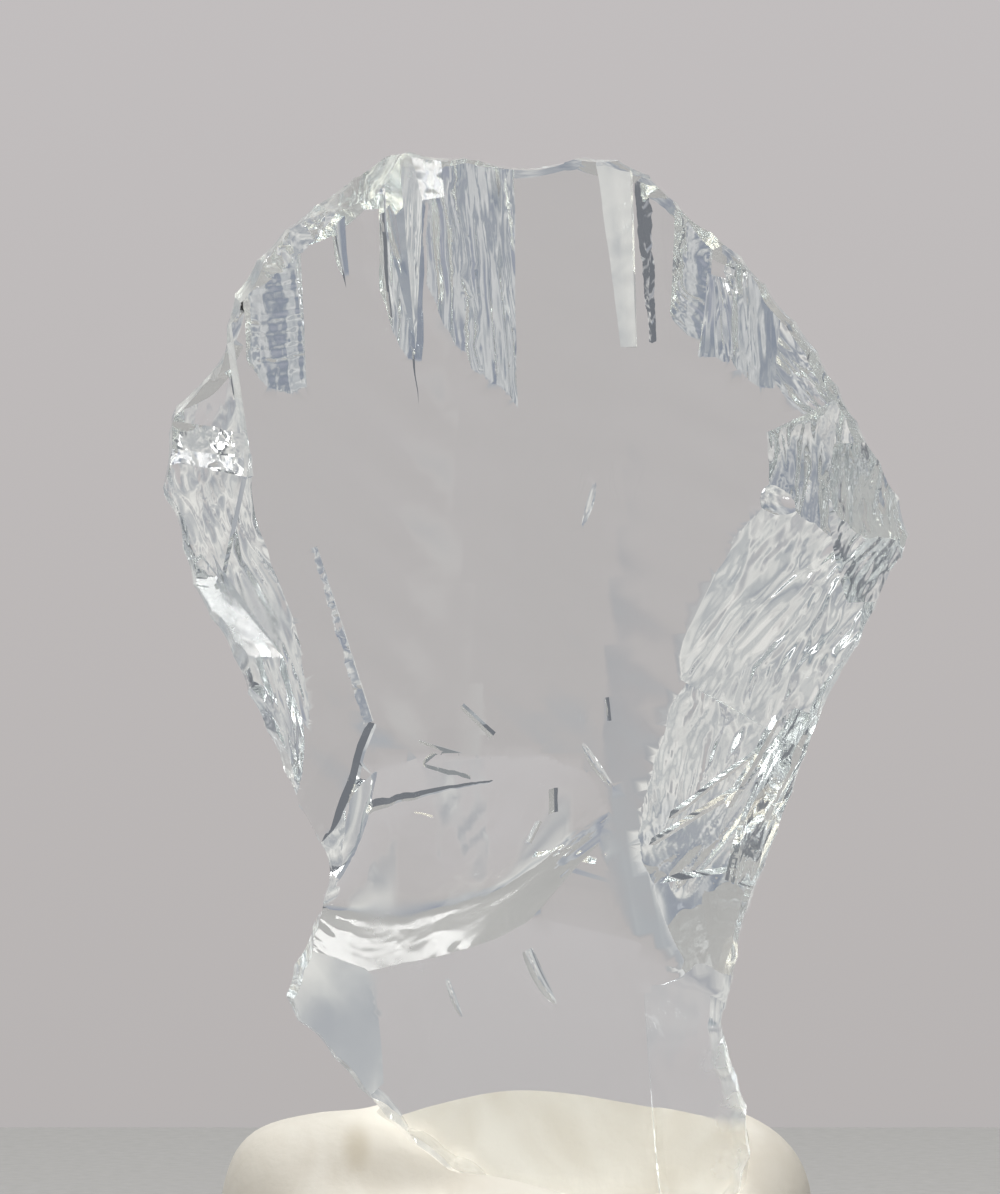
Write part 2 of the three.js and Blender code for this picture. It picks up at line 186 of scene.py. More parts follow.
# %% [markdown]
# ## Surroundings
#
# The rest of the studio is a world material, since glass must find something wherever a face sends the
# view. A ramp by height gives backdrop, shade and ceiling. Pools of light and shade on the walls make one
# bevel differ from the next, and a dark arch well off the axis is what draws dark lines at steep cracks.
# A picture of a real room could do the same, but here every tone is a named value and nothing is loaded.

# %% Surroundings
# Each stop is the height above the horizon in degrees and the colour seen there.
SURROUNDINGS = [
    (-90, (0.38, 0.38, 0.38)),
    (-30, (0.40, 0.41, 0.42)),
    (-22, (0.41, 0.42, 0.45)),
    (-14, (0.21, 0.235, 0.295)),
    (-11, (0.25, 0.275, 0.335)),
    (-7.5, (0.32, 0.34, 0.40)),
    (-4.8, (0.42, 0.43, 0.45)),
    (-3.8, (0.476, 0.453, 0.449)),
    (0, (0.503, 0.479, 0.477)),
    (4, (0.537, 0.513, 0.515)),
    (9, (0.555, 0.534, 0.532)),
    (14, (0.60, 0.59, 0.57)),
    (22, (0.56, 0.56, 0.56)),
    (34, (0.36, 0.38, 0.39)),
    (60, (0.64, 0.64, 0.63)),
    (90, (0.64, 0.64, 0.63)),
]
# Pools of light and shade on the studio's walls: compass angle from straight behind (right is plus),
# height angle, half width and half height, all in degrees, and the colour in the middle.
POOLS = [
    (-17, 6, 10, 19, (0.62, 0.615, 0.60)),
    (16, 3, 8, 20, (0.74, 0.73, 0.70)),
    (-31, -14, 11, 12, (0.24, 0.27, 0.31)),
    (29, -12, 10, 12, (0.42, 0.44, 0.47)),
    (-4, 24, 14, 8, (0.68, 0.67, 0.65)),
    (-32, 16, 7, 12, (0.36, 0.40, 0.41)),
    (30, 12, 8, 14, (0.82, 0.81, 0.78)),
    (-80, 8, 16, 40, (0.66, 0.67, 0.64)),
    (76, 8, 16, 40, (0.66, 0.67, 0.64)),
]
# A dark arch stands round the backdrop, which draws dark lines in clear glass: its angle from straight
# behind, its half width and its colour. The dark room behind the camera is one more pool.
ARCH_ANGLE = 47.5
ARCH_HALF_WIDTH = 12.0
ARCH_COLOUR = (0.16, 0.17, 0.19, 1.0)
ROOM_POOLS = [
    (-180, 0, 80, 60, (0.25, 0.26, 0.27)),
    (180, 0, 80, 60, (0.25, 0.26, 0.27)),
]
# Small things standing about the studio, as soft spots: how many to the radian, and the colours between
# which they vary. They keep clear of the plain backdrop by about these angles, across and up.
SPOTS_TO_RADIAN = 8.0
SPOT_COLOURS = [(0.32, (0.20, 0.23, 0.29)), (0.46, (0.40, 0.42, 0.44)), (0.56, (0.66, 0.66, 0.64)),
                (0.68, (0.92, 0.91, 0.87))]
SPOTS_SHARE = 0.6
BACKDROP_REACH = (4.4, 8.5)


def make_surroundings():
    world = bpy.data.worlds.new("studio")
    world.use_nodes = True
    tree = world.node_tree
    tree.nodes.clear()

    def maths(operation, *sources):
        return feed(tree, add_node(tree, "ShaderNodeMath", operation=operation), *sources)

    place = add_node(tree, "ShaderNodeTexCoord").outputs["Generated"]
    split = add_node(tree, "ShaderNodeSeparateXYZ")
    feed(tree, split, place)
    height = maths("DEGREES", maths("ARCSINE", split.outputs["Z"]))
    compass = maths("DEGREES", maths("ARCTAN2", split.outputs["X"], split.outputs["Y"]))
    share = feed(tree, add_node(tree, "ShaderNodeMapRange"), height, -90.0, 90.0, 0.0, 1.0)
    wall = add_node(tree, "ShaderNodeValToRGB")
    set_ramp(wall.color_ramp, [((degrees + 90) / 180, colour) for degrees, colour in SURROUNDINGS])
    colour = feed(tree, wall, share)

    def pool(colour, middle, reach, inside, inner, outer, strength):
        """Mixes in another colour inside an ellipse round the compass and height angles in middle."""
        across = maths("DIVIDE", maths("SUBTRACT", compass, float(middle[0])), float(reach[0]))
        up = maths("DIVIDE", maths("SUBTRACT", height, float(middle[1])), float(reach[1]))
        distance = maths("SQRT", maths("ADD", maths("MULTIPLY", across, across), maths("MULTIPLY", up, up)))
        edge = add_node(tree, "ShaderNodeMapRange", interpolation_type="SMOOTHSTEP")
        weight = feed(tree, edge, distance, inner, outer, *strength)
        return feed(tree, add_node(tree, "ShaderNodeMix", data_type="RGBA"), weight, colour, inside)

    for pool_compass, pool_height, half_width, half_height, inside in POOLS:
        middle, reach = (pool_compass, pool_height), (half_width, half_height)
        colour = pool(colour, middle, reach, (*inside, 1.0), 0.45, 1.0, (1.0, 0.0))
    noise = add_node(tree, "ShaderNodeTexNoise", Scale=SPOTS_TO_RADIAN, Detail=2.0, Roughness=0.5)
    tree.links.new(place, noise.inputs["Vector"])
    spots = add_node(tree, "ShaderNodeValToRGB")
    set_ramp(spots.color_ramp, SPOT_COLOURS)
    spot_colour = feed(tree, spots, noise.outputs["Fac"])
    colour = pool(colour, (0, 0), BACKDROP_REACH, spot_colour, 1.0, 1.7, (0.0, SPOTS_SHARE))
    off_axis = maths("DEGREES", maths("ARCCOSINE", split.outputs["Y"]))
    from_arch = maths("DIVIDE", maths("ABSOLUTE", maths("SUBTRACT", off_axis, ARCH_ANGLE)), ARCH_HALF_WIDTH)
    edge = add_node(tree, "ShaderNodeMapRange", interpolation_type="SMOOTHSTEP")
    in_arch = feed(tree, edge, from_arch, 0.6, 1.0, 1.0, 0.0)
    colour = feed(tree, add_node(tree, "ShaderNodeMix", data_type="RGBA"), in_arch, colour, ARCH_COLOUR)
    for pool_compass, pool_height, half_width, half_height, inside in ROOM_POOLS:
        middle, reach = (pool_compass, pool_height), (half_width, half_height)
        colour = pool(colour, middle, reach, (*inside, 1.0), 0.45, 1.0, (1.0, 0.0))
    background = feed(tree, add_node(tree, "ShaderNodeBackground"), colour, 1.0)
    feed(tree, add_node(tree, "ShaderNodeOutputWorld"), background)
    bpy.context.scene.world = world


make_surroundings()
print("pools of light and shade:", len(POOLS) + len(ROOM_POOLS))

# %% [markdown]
# ## Soft lights
#
# Four softboxes light the putty and put the white glints on the glass. Each is placed by its compass and
# height angles round the object, and sized by the angle it fills, because that is what a glint shows. The
# largest glints come from the key, high up and behind the camera.

# %% Soft lights
# Each softbox: compass angle and height angle, angular width and height in degrees, distance in mm,
# brightness against a white sheet, and tint.
SOFTBOXES = {
    "overhead": ((10, 74), (50, 40), 560, 2.3, (1.0, 1.0, 0.99)),
    "front_key": ((197, 50), (24, 20), 560, 11.0, (1.0, 1.0, 0.98)),
    "small_left": ((-29, 19), (5, 8), 560, 2.6, (1.0, 1.0, 1.0)),
    "small_right": ((24, 26), (6, 5), 560, 2.6, (1.0, 0.99, 0.96)),
}
LIGHT_CENTRE = Vector((0, 0, 38)) * MM


def make_softboxes():
    for name, (place, spread, distance, brightness, tint) in SOFTBOXES.items():
        compass, height = (math.radians(angle) for angle in place)
        towards = Vector((
            math.sin(compass) * math.cos(height),
            math.cos(compass) * math.cos(height),
            math.sin(height),
        ))
        data = bpy.data.lights.new(name, "AREA")
        data.shape = "RECTANGLE"
        data.size, data.size_y = (2 * distance * MM * math.tan(math.radians(angle / 2)) for angle in spread)
        data.energy = brightness * math.pi * data.size * data.size_y
        data.color = tint
        lamp = bpy.data.objects.new(name, data)
        bpy.context.scene.collection.objects.link(lamp)
        lamp.location = LIGHT_CENTRE + towards * distance * MM
        lamp.rotation_euler = towards.to_track_quat("Z", "Y").to_euler()
        lamp.visible_camera = False


make_softboxes()
bpy.context.scene.view_settings.view_transform = "Standard"
bpy.context.scene.cycles.max_bounces = 24
bpy.context.scene.cycles.transmission_bounces = 24
bpy.context.scene.cycles.glossy_bounces = 12
print("softboxes:", len(SOFTBOXES))

# %% [markdown]
# ## Outline of the fan
#
# The front view's outline is the one thing that is simply drawn: points along the broken edge, clockwise
# from the ledge at the upper left. Straight lines between them are fine, because the chips struck along the
# rim later break every one of them up.

# %% Outline and slab
OUTLINE = [
    (-20.7, 51.0), (-20.5, 53.3), (-19.0, 55.0), (-17.4, 56.5), (-17.2, 58.2), (-16.7, 60.1),
    (-15.4, 62.3), (-13.7, 64.2), (-11.8, 65.8), (-9.8, 67.2), (-7.8, 68.7), (-6.2, 69.2),
    (-4.6, 68.7), (-2.9, 69.1), (-1.0, 68.3), (2.2, 68.1), (4.3, 68.9), (6.4, 68.5),
    (8.5, 67.8), (10.4, 65.8), (12.2, 63.9), (14.0, 63.0), (15.8, 60.5), (17.8, 58.3),
    (19.4, 55.7), (21.0, 52.8), (22.7, 49.8), (23.8, 47.4), (24.2, 45.3), (22.6, 42.6),
    (21.2, 39.3), (19.6, 36.6), (18.2, 33.3), (16.9, 29.7), (15.6, 26.1), (14.4, 23.1),
    (13.8, 19.5), (13.0, 16.5), (13.9, 14.1), (14.6, 10.8), (14.4, 6.9), (11.5, 4.7),
    (5.5, 4.3), (-0.5, 5.7), (-4.7, 8.4), (-8.8, 12.2), (-11.0, 15.0), (-13.7, 17.8),
    (-13.0, 20.4), (-11.5, 23.1), (-11.0, 26.5), (-12.5, 29.1), (-13.7, 32.1), (-15.4, 35.7),
    (-17.0, 39.3), (-19.1, 42.6), (-19.7, 45.3), (-20.6, 48.3),
]
SLAB_FRONT, SLAB_BACK = -7.1, 7.1
FRONT, BACK = -1, 1  # the side that a break is struck from, as the way out of the glass along Y


def solid_mesh(name, points, faces):
    """A mesh in metres from points in millimetres, with its faces turned outwards."""
    mesh = bpy.data.meshes.new(name)
    mesh.from_pydata((np.asarray(points, float) * MM).tolist(), [], faces)
    mesh.validate()
    return mesh


def make_slab():
    count = len(OUTLINE)
    front = [(x, SLAB_FRONT, z) for x, z in OUTLINE]
    back = [(x, SLAB_BACK, z) for x, z in OUTLINE]
    walls = [(i, (i + 1) % count, (i + 1) % count + count, i + count) for i in range(count)]
    faces = [tuple(range(count))[::-1], tuple(range(count, 2 * count)), *walls]
    slab = bpy.data.objects.new("glass", solid_mesh("glass", front + back, faces))
    bpy.context.scene.collection.objects.link(slab)
    return slab


slab = make_slab()

# %% [markdown]
# ## Relief: what a break leaves on its face
#
# Glass breaks in a few well-known textures. Arcs run round the point of the blow. Strips are long narrow
# planes that run away from it. Hackle is a mass of splinter scars where the crack ran fast. Each is a small
# function of two directions on the face, `u` across and `v` along the break, in millimetres. Real height
# is used rather than a bump texture, because the sharp lines must show in the outline too.


# %% Relief functions
def waves(position, pitch, rng, terms=5):
    """A restless wave of height about 1: sines of several pitches, placed at random."""
    total = np.zeros_like(position)
    for _ in range(terms):
        length = pitch * rng.uniform(0.55, 1.9)
        total += rng.uniform(0.4, 1.0) * np.sin(2 * math.pi * position / length + rng.uniform(0, 6.28))
    return total / math.sqrt(terms)


def broken_line(position, width, rng):
    """A zigzag of height about 1 with corners at random places, on average `width` apart."""
    low, high = position.min() - width, position.max() + width
    steps = width * rng.uniform(0.35, 1.9, int(1.6 * (high - low) / width) + 4)
    corners = low + np.cumsum(steps) - width
    return np.interp(position, corners, rng.uniform(-1, 1, len(corners)))


def strips(height, width, seed, turn=0.0, fan=0.0, sway=0.25):
    """Long narrow planes along the scar, turned by `turn` degrees and spreading apart by `fan`."""

    def relief(u, v, half_u, half_v):
        rng = np.random.default_rng(seed)
        angle = math.radians(turn)
        side = u * math.cos(angle) + v * math.sin(angle)
        forward = v * math.cos(angle) - u * math.sin(angle)
        side = side / (1 + fan * forward / half_v) + sway * waves(forward, 9.0, rng, 3)
        share = 0.5 + 0.5 * np.tanh(2 * waves(forward + 0.6 * side, 7.0, rng, 3))
        return height * (share * broken_line(side, width, rng) + (1 - share) * broken_line(side, width, rng))

    return relief


def arcs(height, width, seed, strike=(0.0, -1.3)):
    """Rings round the strike point, which is given in half widths and half lengths of the scar."""

    def relief(u, v, half_u, half_v):
        rng = np.random.default_rng(seed)
        distance = np.hypot(u - strike[0] * half_u, v - strike[1] * half_v)
        bearing = np.arctan2(u - strike[0] * half_u, v - strike[1] * half_v)
        distance = distance + 0.25 * waves(bearing * half_v, 3.0, rng, 3)
        return height * (0.6 * broken_line(distance, width, rng) + 0.4 * waves(distance, width, rng))

    return relief


def hackle(height, length, width, seed, turn=0.0, density=1.0, swing=12.0):
    """Long splinter scars laid along `turn` degrees; the deepest one wins, so sharp ridges stand between."""

    def relief(u, v, half_u, half_v):
        rng = np.random.default_rng(seed)
        reach_u, reach_v = np.abs(u).max(), np.abs(v).max()
        count = int(density * 4 * reach_u * reach_v / (length * width)) + 1
        deepest = np.zeros_like(u)
        for _ in range(count):
            centre_u, centre_v = rng.uniform(-reach_u, reach_u), rng.uniform(-reach_v, reach_v)
            angle = math.radians(turn + rng.normal(0, swing))
            depth = height * rng.uniform(0.25, 1.0)
            half_length, half_width = length * rng.uniform(0.5, 1.4), width * rng.uniform(0.5, 1.4)
            lengthwise = ((u - centre_u) * math.cos(angle) + (v - centre_v) * math.sin(angle)) / half_length
            crosswise = ((v - centre_v) * math.cos(angle) - (u - centre_u) * math.sin(angle)) / half_width
            bowl = depth * (lengthwise**2 + crosswise**2 - 1 + rng.uniform(-0.6, 0.6) * crosswise)
            deepest = np.minimum(deepest, bowl)
        return deepest

    return relief


def swells(height, size, seed, terms=7):
    """Low hills and hollows about `size` across, which make one part of a face brighter than the next."""

    def relief(u, v, half_u, half_v):
        rng = np.random.default_rng(seed)
        total = np.zeros_like(u)
        for _ in range(terms):
            heading, length = rng.uniform(0, 2 * math.pi), size * rng.uniform(0.7, 1.6)
            along = u * math.cos(heading) + v * math.sin(heading)
            total += np.sin(2 * math.pi * along / length + rng.uniform(0, 6.28))
        return height * total / math.sqrt(terms)

    return relief


def lattice_noise(x, y, rng):
    """Smooth random values between 0 and 1, with one new value at each whole number of x and y."""
    low_x, low_y = np.floor(x).astype(int), np.floor(y).astype(int)
    ease_x, ease_y = ((part * part * (3 - 2 * part)) for part in (x - low_x, y - low_y))
    column, row = low_x - low_x.min(), low_y - low_y.min()
    values = rng.uniform(0, 1, (column.max() + 2, row.max() + 2))
    near = values[column, row] * (1 - ease_x) + values[column + 1, row] * ease_x
    far = values[column, row + 1] * (1 - ease_x) + values[column + 1, row + 1] * ease_x
    return near * (1 - ease_y) + far * ease_y


def tears(height, length, width, seed, turn=0.0, octaves=3):
    """Creased relief, stretched along `turn` degrees: each octave is half the size of the one before."""

    def relief(u, v, half_u, half_v):
        rng = np.random.default_rng(seed)
        angle = math.radians(turn)
        along = (u * math.cos(angle) + v * math.sin(angle)) / length
        across = (v * math.cos(angle) - u * math.sin(angle)) / width
        across = across + 0.9 * lattice_noise(along * 1.3, across * 0.3, rng)
        total = np.zeros_like(u)
        for octave in range(octaves):
            size = 2**octave
            crease = np.abs(2 * lattice_noise(along * size + 7.3 * octave, across * size, rng) - 1)
            total += height * 0.55**octave * crease
        return total

    return relief


def patchy(part, size, seed, least=0.15):
    """The same relief, but strong in some places and nearly absent in others, in patches about `size`."""

    def relief(u, v, half_u, half_v):
        strength = lattice_noise(u / size, v / size, np.random.default_rng(seed))
        return part(u, v, half_u, half_v) * (least + (1 - least) * np.clip(2.4 * strength - 0.7, 0, 1))

    return relief


def fading(part, start, end):
    """The same relief, growing from nothing at `start` to full at `end`, in half lengths of the break."""

    def relief(u, v, half_u, half_v):
        return part(u, v, half_u, half_v) * np.clip((v / half_v - start) / (end - start), 0, 1)

    return relief


def near_line(part, start, end, reach):
    """The same relief, only within `reach` of a line, whose ends are given in half sizes of the break."""

    def relief(u, v, half_u, half_v):
        first = np.array(start) * (half_u, half_v)
        span = np.array(end) * (half_u, half_v) - first
        share = np.clip(((u - first[0]) * span[0] + (v - first[1]) * span[1]) / (span @ span), 0, 1)
        distance = np.hypot(u - first[0] - share * span[0], v - first[1] - share * span[1])
        return part(u, v, half_u, half_v) * np.clip(1.6 - 1.6 * distance / reach, 0, 1)

    return relief


def splinters(seed, turn=0.0, coarse=0.3, fine=1.0):
    """Hackle and creases together, as on the bevels where the block tore."""
    return [
        swells(0.3 * coarse, 6.0, seed + 3),
        hackle(coarse, 6.0, 1.4, seed, turn, 1.1, swing=14.0),
        patchy(tears(0.22 * fine, 4.6, 1.0, seed + 1, turn + 6, 2), 3.4, seed + 4),
        patchy(tears(0.07 * fine, 1.6, 0.5, seed + 2, turn - 18, 2), 2.6, seed + 5),
    ]


# %% [markdown]
# ## Tools: one for each break
#
# A break is cut with a block whose underside has the shape that the break leaves. The block's place comes
# from three points on the real thing: two on the rim and one inside the face. The underside is a fine grid
# only where the relief needs it, so the triangles go where the sparkle is.

# %% Tool shapes
TOOL_HEIGHT = 16.0
cutters = []


def add_cutter(name, points, faces):
    cutter = bpy.data.objects.new(name, solid_mesh(name, points, faces))
    bpy.context.scene.collection.objects.link(cutter)
    cutters.append(cutter)
    return cutter


def closed_block(under, lid_of, turned):
    """Points and faces of a closed block: the grid of points `under`, walls from its edge, and a flat lid."""
    rows, columns = under.shape[:2]
    number = np.arange(rows * columns).reshape(rows, columns)
    quads = np.stack([number[:-1, :-1], number[1:, :-1], number[1:, 1:], number[:-1, 1:]], -1).reshape(-1, 4)
    edge = np.concatenate([number[0], number[1:, -1], number[-1, -2::-1], number[-2:0:-1, 0]])
    under = under.reshape(-1, 3)
    lid = lid_of(under[edge])
    points = np.vstack([under, lid, lid.mean(axis=0)])
    first, count = rows * columns, len(edge)
    here, following = np.arange(count), (np.arange(count) + 1) % count
    walls = np.stack([edge, edge[following], first + following, first + here], -1)
    caps = np.stack([first + here, first + following, np.full(count, len(points) - 1)], -1)
    if turned:
        quads, walls, caps = quads[:, ::-1], walls[:, ::-1], caps[:, ::-1]
    return points, [*quads.tolist(), *walls.tolist(), *caps.tolist()]


def grid_block(origin, across, along, out, u_lines, v_lines, surface, height=TOOL_HEIGHT, rise=None):
    """A closed block over a flat grid, its underside lifted to surface(u, v) and its walls along `rise`."""
    rise = out if rise is None else rise
    u, v = np.meshgrid(u_lines, v_lines)
    under = origin + u[..., None] * across + v[..., None] * along + surface(u, v)[..., None] * out

    def lid_of(ring):
        return ring + (height - (ring - origin) @ out)[:, None] / rise.dot(out) * rise

    return closed_block(under, lid_of, np.dot(np.cross(across, along), out) < 0)


def even_lines(reach, cell):
    """Grid lines about one cell apart, as far to one side of nought as to the other."""
    return np.linspace(-reach, reach, max(3, int(2 * reach / cell) + 1))


def scar(name, side, rim, inner, bow=0.0, dip=0.0, spread=(1.3, 1.5), cell=(0.6, 0.6), relief=(), calm=0.0):
    """A dished break through two rim points and one inner point, struck from the front or the back.

    Bow dishes it across and dip along its length. Spread is how far it reaches across and along, in half
    sizes. The relief dies down by the share calm at the inner end.
    """
    first, second = (np.array(point, float) for point in rim)
    middle = (first + second) / 2
    across = second - first
    half_u = np.linalg.norm(across) / 2
    across /= 2 * half_u
    along = np.array(inner, float) - middle
    along -= across * along.dot(across)
    half_v = np.linalg.norm(along) / 2
    along /= 2 * half_v
    out = np.cross(across, along)
    if out[1] * side < 0:
        out = -out

    def surface(u, v):
        lift = bow * ((u / half_u) ** 2 - 1) + dip * ((v / half_v) ** 2 - 1)
        strength = 1 - calm * np.clip((v / half_v + 1) / 2, 0, 1)
        for part in relief:
            lift = lift + strength * part(u, v, half_u, half_v)
        return lift

    u_lines, v_lines = even_lines(half_u * spread[0], cell[0]), even_lines(half_v * spread[1], cell[1])
    square = np.array([0.0, side, 0.0])
    block = grid_block(middle + along * half_v, across, along, out, u_lines, v_lines, surface, rise=square)
    return add_cutter(name, *block)


def groove(name, side, start, end, left, right, overrun=1.0, cell=0.5, waver=0.03, seed=1, relief=()):
    """Two walls that meet along the line from start to end; each wall is (run, rise) from that line."""
    start, end = np.array(start, float), np.array(end, float)
    along = end - start
    length = np.linalg.norm(along)
    along /= length
    lateral = np.cross(np.array([0.0, side, 0.0]), along)
    lateral /= np.linalg.norm(lateral)
    out = np.cross(along, lateral)
    minus, plus = (left, right) if lateral[0] > 0 else (right, left)
    u_lines = np.concatenate([
        np.linspace(-minus[0], 0, max(2, int(minus[0] / cell) + 2)),
        np.linspace(0, plus[0], max(2, int(plus[0] / cell) + 2))[1:],
    ])
    v_lines = np.linspace(-overrun, length + overrun, max(3, int(length / cell) + 1))

    def surface(u, v):
        rng = np.random.default_rng(seed)
        wall = np.where(u < 0, -u * minus[1] / minus[0], u * plus[1] / plus[0])
        wall = wall + waver * waves(v, 3.0, rng) + 0.5 * waver * waves(v + u, 1.1, rng)
        return wall + sum(part(u, v, max(minus[0], plus[0]), length / 2) for part in relief)

    return add_cutter(name, *grid_block(start, lateral, along, out, u_lines, v_lines, surface))


def curve_through(points, count):
    """A smooth curve (Catmull-Rom) through the points along the first axis, as `count` points."""
    points = np.asarray(points, float)
    padded = np.concatenate([2 * points[:1] - points[1:2], points, 2 * points[-1:] - points[-2:-1]])
    place = np.linspace(0, len(points) - 1, count)
    span = np.minimum(place.astype(int), len(points) - 2)
    share = (place - span).reshape(-1, *[1] * (points.ndim - 1))
    before, start, end, after = (padded[span + step] for step in range(4))
    square = (2 * before - 5 * start + 4 * end - after) * share**2
    cube = (3 * start - before - 3 * end + after) * share**3
    return start + 0.5 * ((end - before) * share + (square + cube))


def dish(name, side, rows, cell=(0.5, 0.5), relief=()):
    """A smooth hollow through rows of points; where the points lie outside the glass, nothing is cut."""
    rows = np.array(rows, float)
    width = np.linalg.norm(rows[:, -1] - rows[:, 0], axis=-1).max()
    length = np.linalg.norm(rows[-1] - rows[0], axis=-1).max()
    columns, lines = max(4, int(width / cell[0])), max(4, int(length / cell[1]))
    under = curve_through(rows, lines)
    under = np.swapaxes(curve_through(np.swapaxes(under, 0, 1), columns), 0, 1)
    half_u, half_v = width / 2, length / 2
    u, v = np.meshgrid(np.linspace(-half_u, half_u, columns), np.linspace(-half_v, half_v, lines))
    for part in relief:
        under[..., 1] += side * part(u, v, half_u, half_v)

    def lid_of(ring):
        return np.column_stack([ring[:, 0], np.full(len(ring), side * TOOL_HEIGHT), ring[:, 2]])

    facing = np.cross(rows[0, -1] - rows[0, 0], rows[-1, 0] - rows[0, 0])[1] * side
    return add_cutter(name, *closed_block(under, lid_of, facing < 0))


# %% [markdown]
# ## The broad faces
#
# Six long shallow scars fan out from the foot, three in front and three behind. They lean by two or three
# degrees, so one looks straight through them, and only their faint ridges and a little ripple show.

# %% Broad faces
WIDE = (1.0, 1.0)
smooth = [arcs(0.004, 3.5, 5, strike=(0.0, -3.0)), strips(0.06, 3.4, 6, fan=0.15, sway=0.1)]
scar("face_front_left", FRONT, [(-22, -5.3, 40), (4, -7.0, 38)], (-6, -5.4, 66), 0.35, 0, (1.5, 4), WIDE,
     smooth)
scar("face_front_middle", FRONT, [(-6, -6.8, 40), (12, -6.7, 40)], (3, -5.3, 66), 0.2, 0, (3.5, 4), WIDE,
     smooth)
scar("face_front_right", FRONT, [(3, -6.9, 38), (24, -5.2, 42)], (13, -5.1, 66), 0.3, 0, (1.6, 4), WIDE,
     smooth)
scar("face_back_left", BACK, [(-22, 5.0, 40), (2, 6.9, 38)], (-8, 5.0, 66), 0.3, 0, (1.5, 4), WIDE, smooth)
scar("face_back_middle", BACK, [(-8, 6.7, 38), (10, 6.6, 38)], (1, 5.2, 66), 0.2, 0, (3.5, 4), WIDE, smooth)
scar("face_back_right", BACK, [(2, 6.9, 38), (24, 4.8, 42)], (12, 4.9, 66), 0.3, 0, (1.6, 4), WIDE, smooth)
print("broad faces:", len(cutters))

# %% [markdown]
# ## The torn sides
#
# Both sides were torn rather than struck. Long bevels behind take the thickness down to the rim, and they are
# covered in splinter scars that run along the rim. Seen from the front, through the clear front face, they
# give the bright, streaky bands down both sides.

# %% Side scars
TORN = (0.24, 0.12)
scar("right_tip", BACK, [(20.5, 0.5, 53.7), (24.4, 0.2, 45.2)], (16.2, 5.2, 48.5), 0.5, 0, (1.15, 1.6), TORN,
     splinters(11, 40, coarse=0.1, fine=0.9))
dish("right_hollow", BACK, [
    [(14.0, 7.0, 51.0), (16.0, 6.4, 50.8), (18.2, 5.6, 50.2)],
    [(13.4, 6.6, 47.6), (15.9, 4.5, 47.8), (18.8, 4.4, 47.2)],
    [(14.2, 7.2, 45.0), (16.4, 6.2, 44.8), (18.6, 5.0, 44.6)],
], (0.3, 0.3), [arcs(0.02, 1.1, 15)])
scar("right_middle", BACK, [(24.4, 0.4, 45.6), (18.0, 0.9, 33.6)], (12.2, 5.7, 41.6), 0.5, -0.3,
     (1.12, 1.6), TORN,
     splinters(21, 12, coarse=0.22, fine=0.9), calm=0.5)
dish("right_side", BACK, [
    [(7.6, 7.4, 20.6), (10.8, 6.8, 18.6), (15.0, 6.0, 16.6)],
    [(7.8, 6.9, 24.6), (11.4, 5.3, 24.4), (16.4, 1.9, 23.4)],
    [(7.0, 6.9, 27.6), (12.0, 4.6, 29.4), (18.2, 0.7, 33.0)],
    [(7.4, 6.9, 34.0), (12.8, 4.8, 35.6), (20.0, 1.0, 37.4)],
    [(8.6, 6.9, 39.0), (13.8, 5.6, 40.4), (21.4, 4.2, 42.0)],
], (0.13, 0.22), [
    swells(0.025, 5.0, 33),
    fading(hackle(0.2, 5.5, 1.4, 31, 74, 1.0, swing=16.0), -0.35, 0.2),
    fading(patchy(tears(0.13, 4.6, 1.1, 32, 72, 2), 3.2, 34), -0.3, 0.25),
    fading(patchy(tears(0.04, 1.6, 0.5, 35, 100, 2), 2.4, 36), -0.5, 0.2),
    near_line(tears(0.26, 6.5, 1.1, 37, 46, 2), (0.9, 0.3), (-0.35, -0.45), 1.6),
    fading(patchy(tears(0.05, 2.8, 0.9, 42, 40, 2), 3.0, 44), -0.7, -0.3),
])
scar("right_foot", BACK, [(13.8, 5.5, 19.4), (14.9, 5.2, 4.5)], (10.2, 6.4, 12.6), 0.4, 0, (1.1, 1.6),
     (0.5, 0.25),
     [tears(0.03, 5.0, 1.6, 51), swells(0.04, 6.0, 53)])
scar("right_front_upper", FRONT, [(22.4, -2.6, 51.0), (23.0, -2.9, 42.4)], (19.4, -5.4, 46.6), 0.3, 0,
     (1.1, 1.4),
     (0.4, 0.2), [strips(0.05, 0.9, 61, turn=90)])
scar("right_front_lower", FRONT, [(18.8, -3.4, 34.4), (15.4, -3.6, 25.0)], (14.4, -6.6, 31.0), 0.3, 0,
     (1.1, 1.4),
     (0.4, 0.2), [strips(0.05, 0.9, 62, turn=90)])
dish("left_side", BACK, [
    [(-12.6, 7.4, 25.0), (-10.6, 7.4, 26.0), (-8.6, 7.4, 27.0)],
    [(-13.6, 5.0, 30.0), (-11.8, 6.2, 30.8), (-9.8, 7.2, 31.6)],
    [(-16.2, 2.6, 35.6), (-13.0, 4.9, 36.2), (-9.8, 7.0, 36.8)],
    [(-19.6, 1.2, 42.0), (-15.4, 4.0, 42.2), (-11.0, 6.8, 42.6)],
    [(-21.4, 1.3, 47.6), (-17.2, 3.7, 47.4), (-12.6, 6.4, 47.0)],
    [(-21.8, 2.6, 52.2), (-17.2, 4.2, 51.8), (-12.2, 5.9, 51.2)],
    [(-20.4, 4.6, 56.6), (-16.4, 4.9, 56.4), (-12.4, 5.8, 56.0)],
], (0.13, 0.22), [
    swells(0.04, 5.0, 83),
    fading(hackle(0.26, 5.5, 1.3, 81, 96, 1.0, swing=16.0), -1.0, -0.5),
    patchy(tears(0.16, 4.6, 1.1, 82, 98, 2), 3.2, 84),
    patchy(tears(0.05, 1.6, 0.5, 85, 80, 2), 2.4, 86),
])
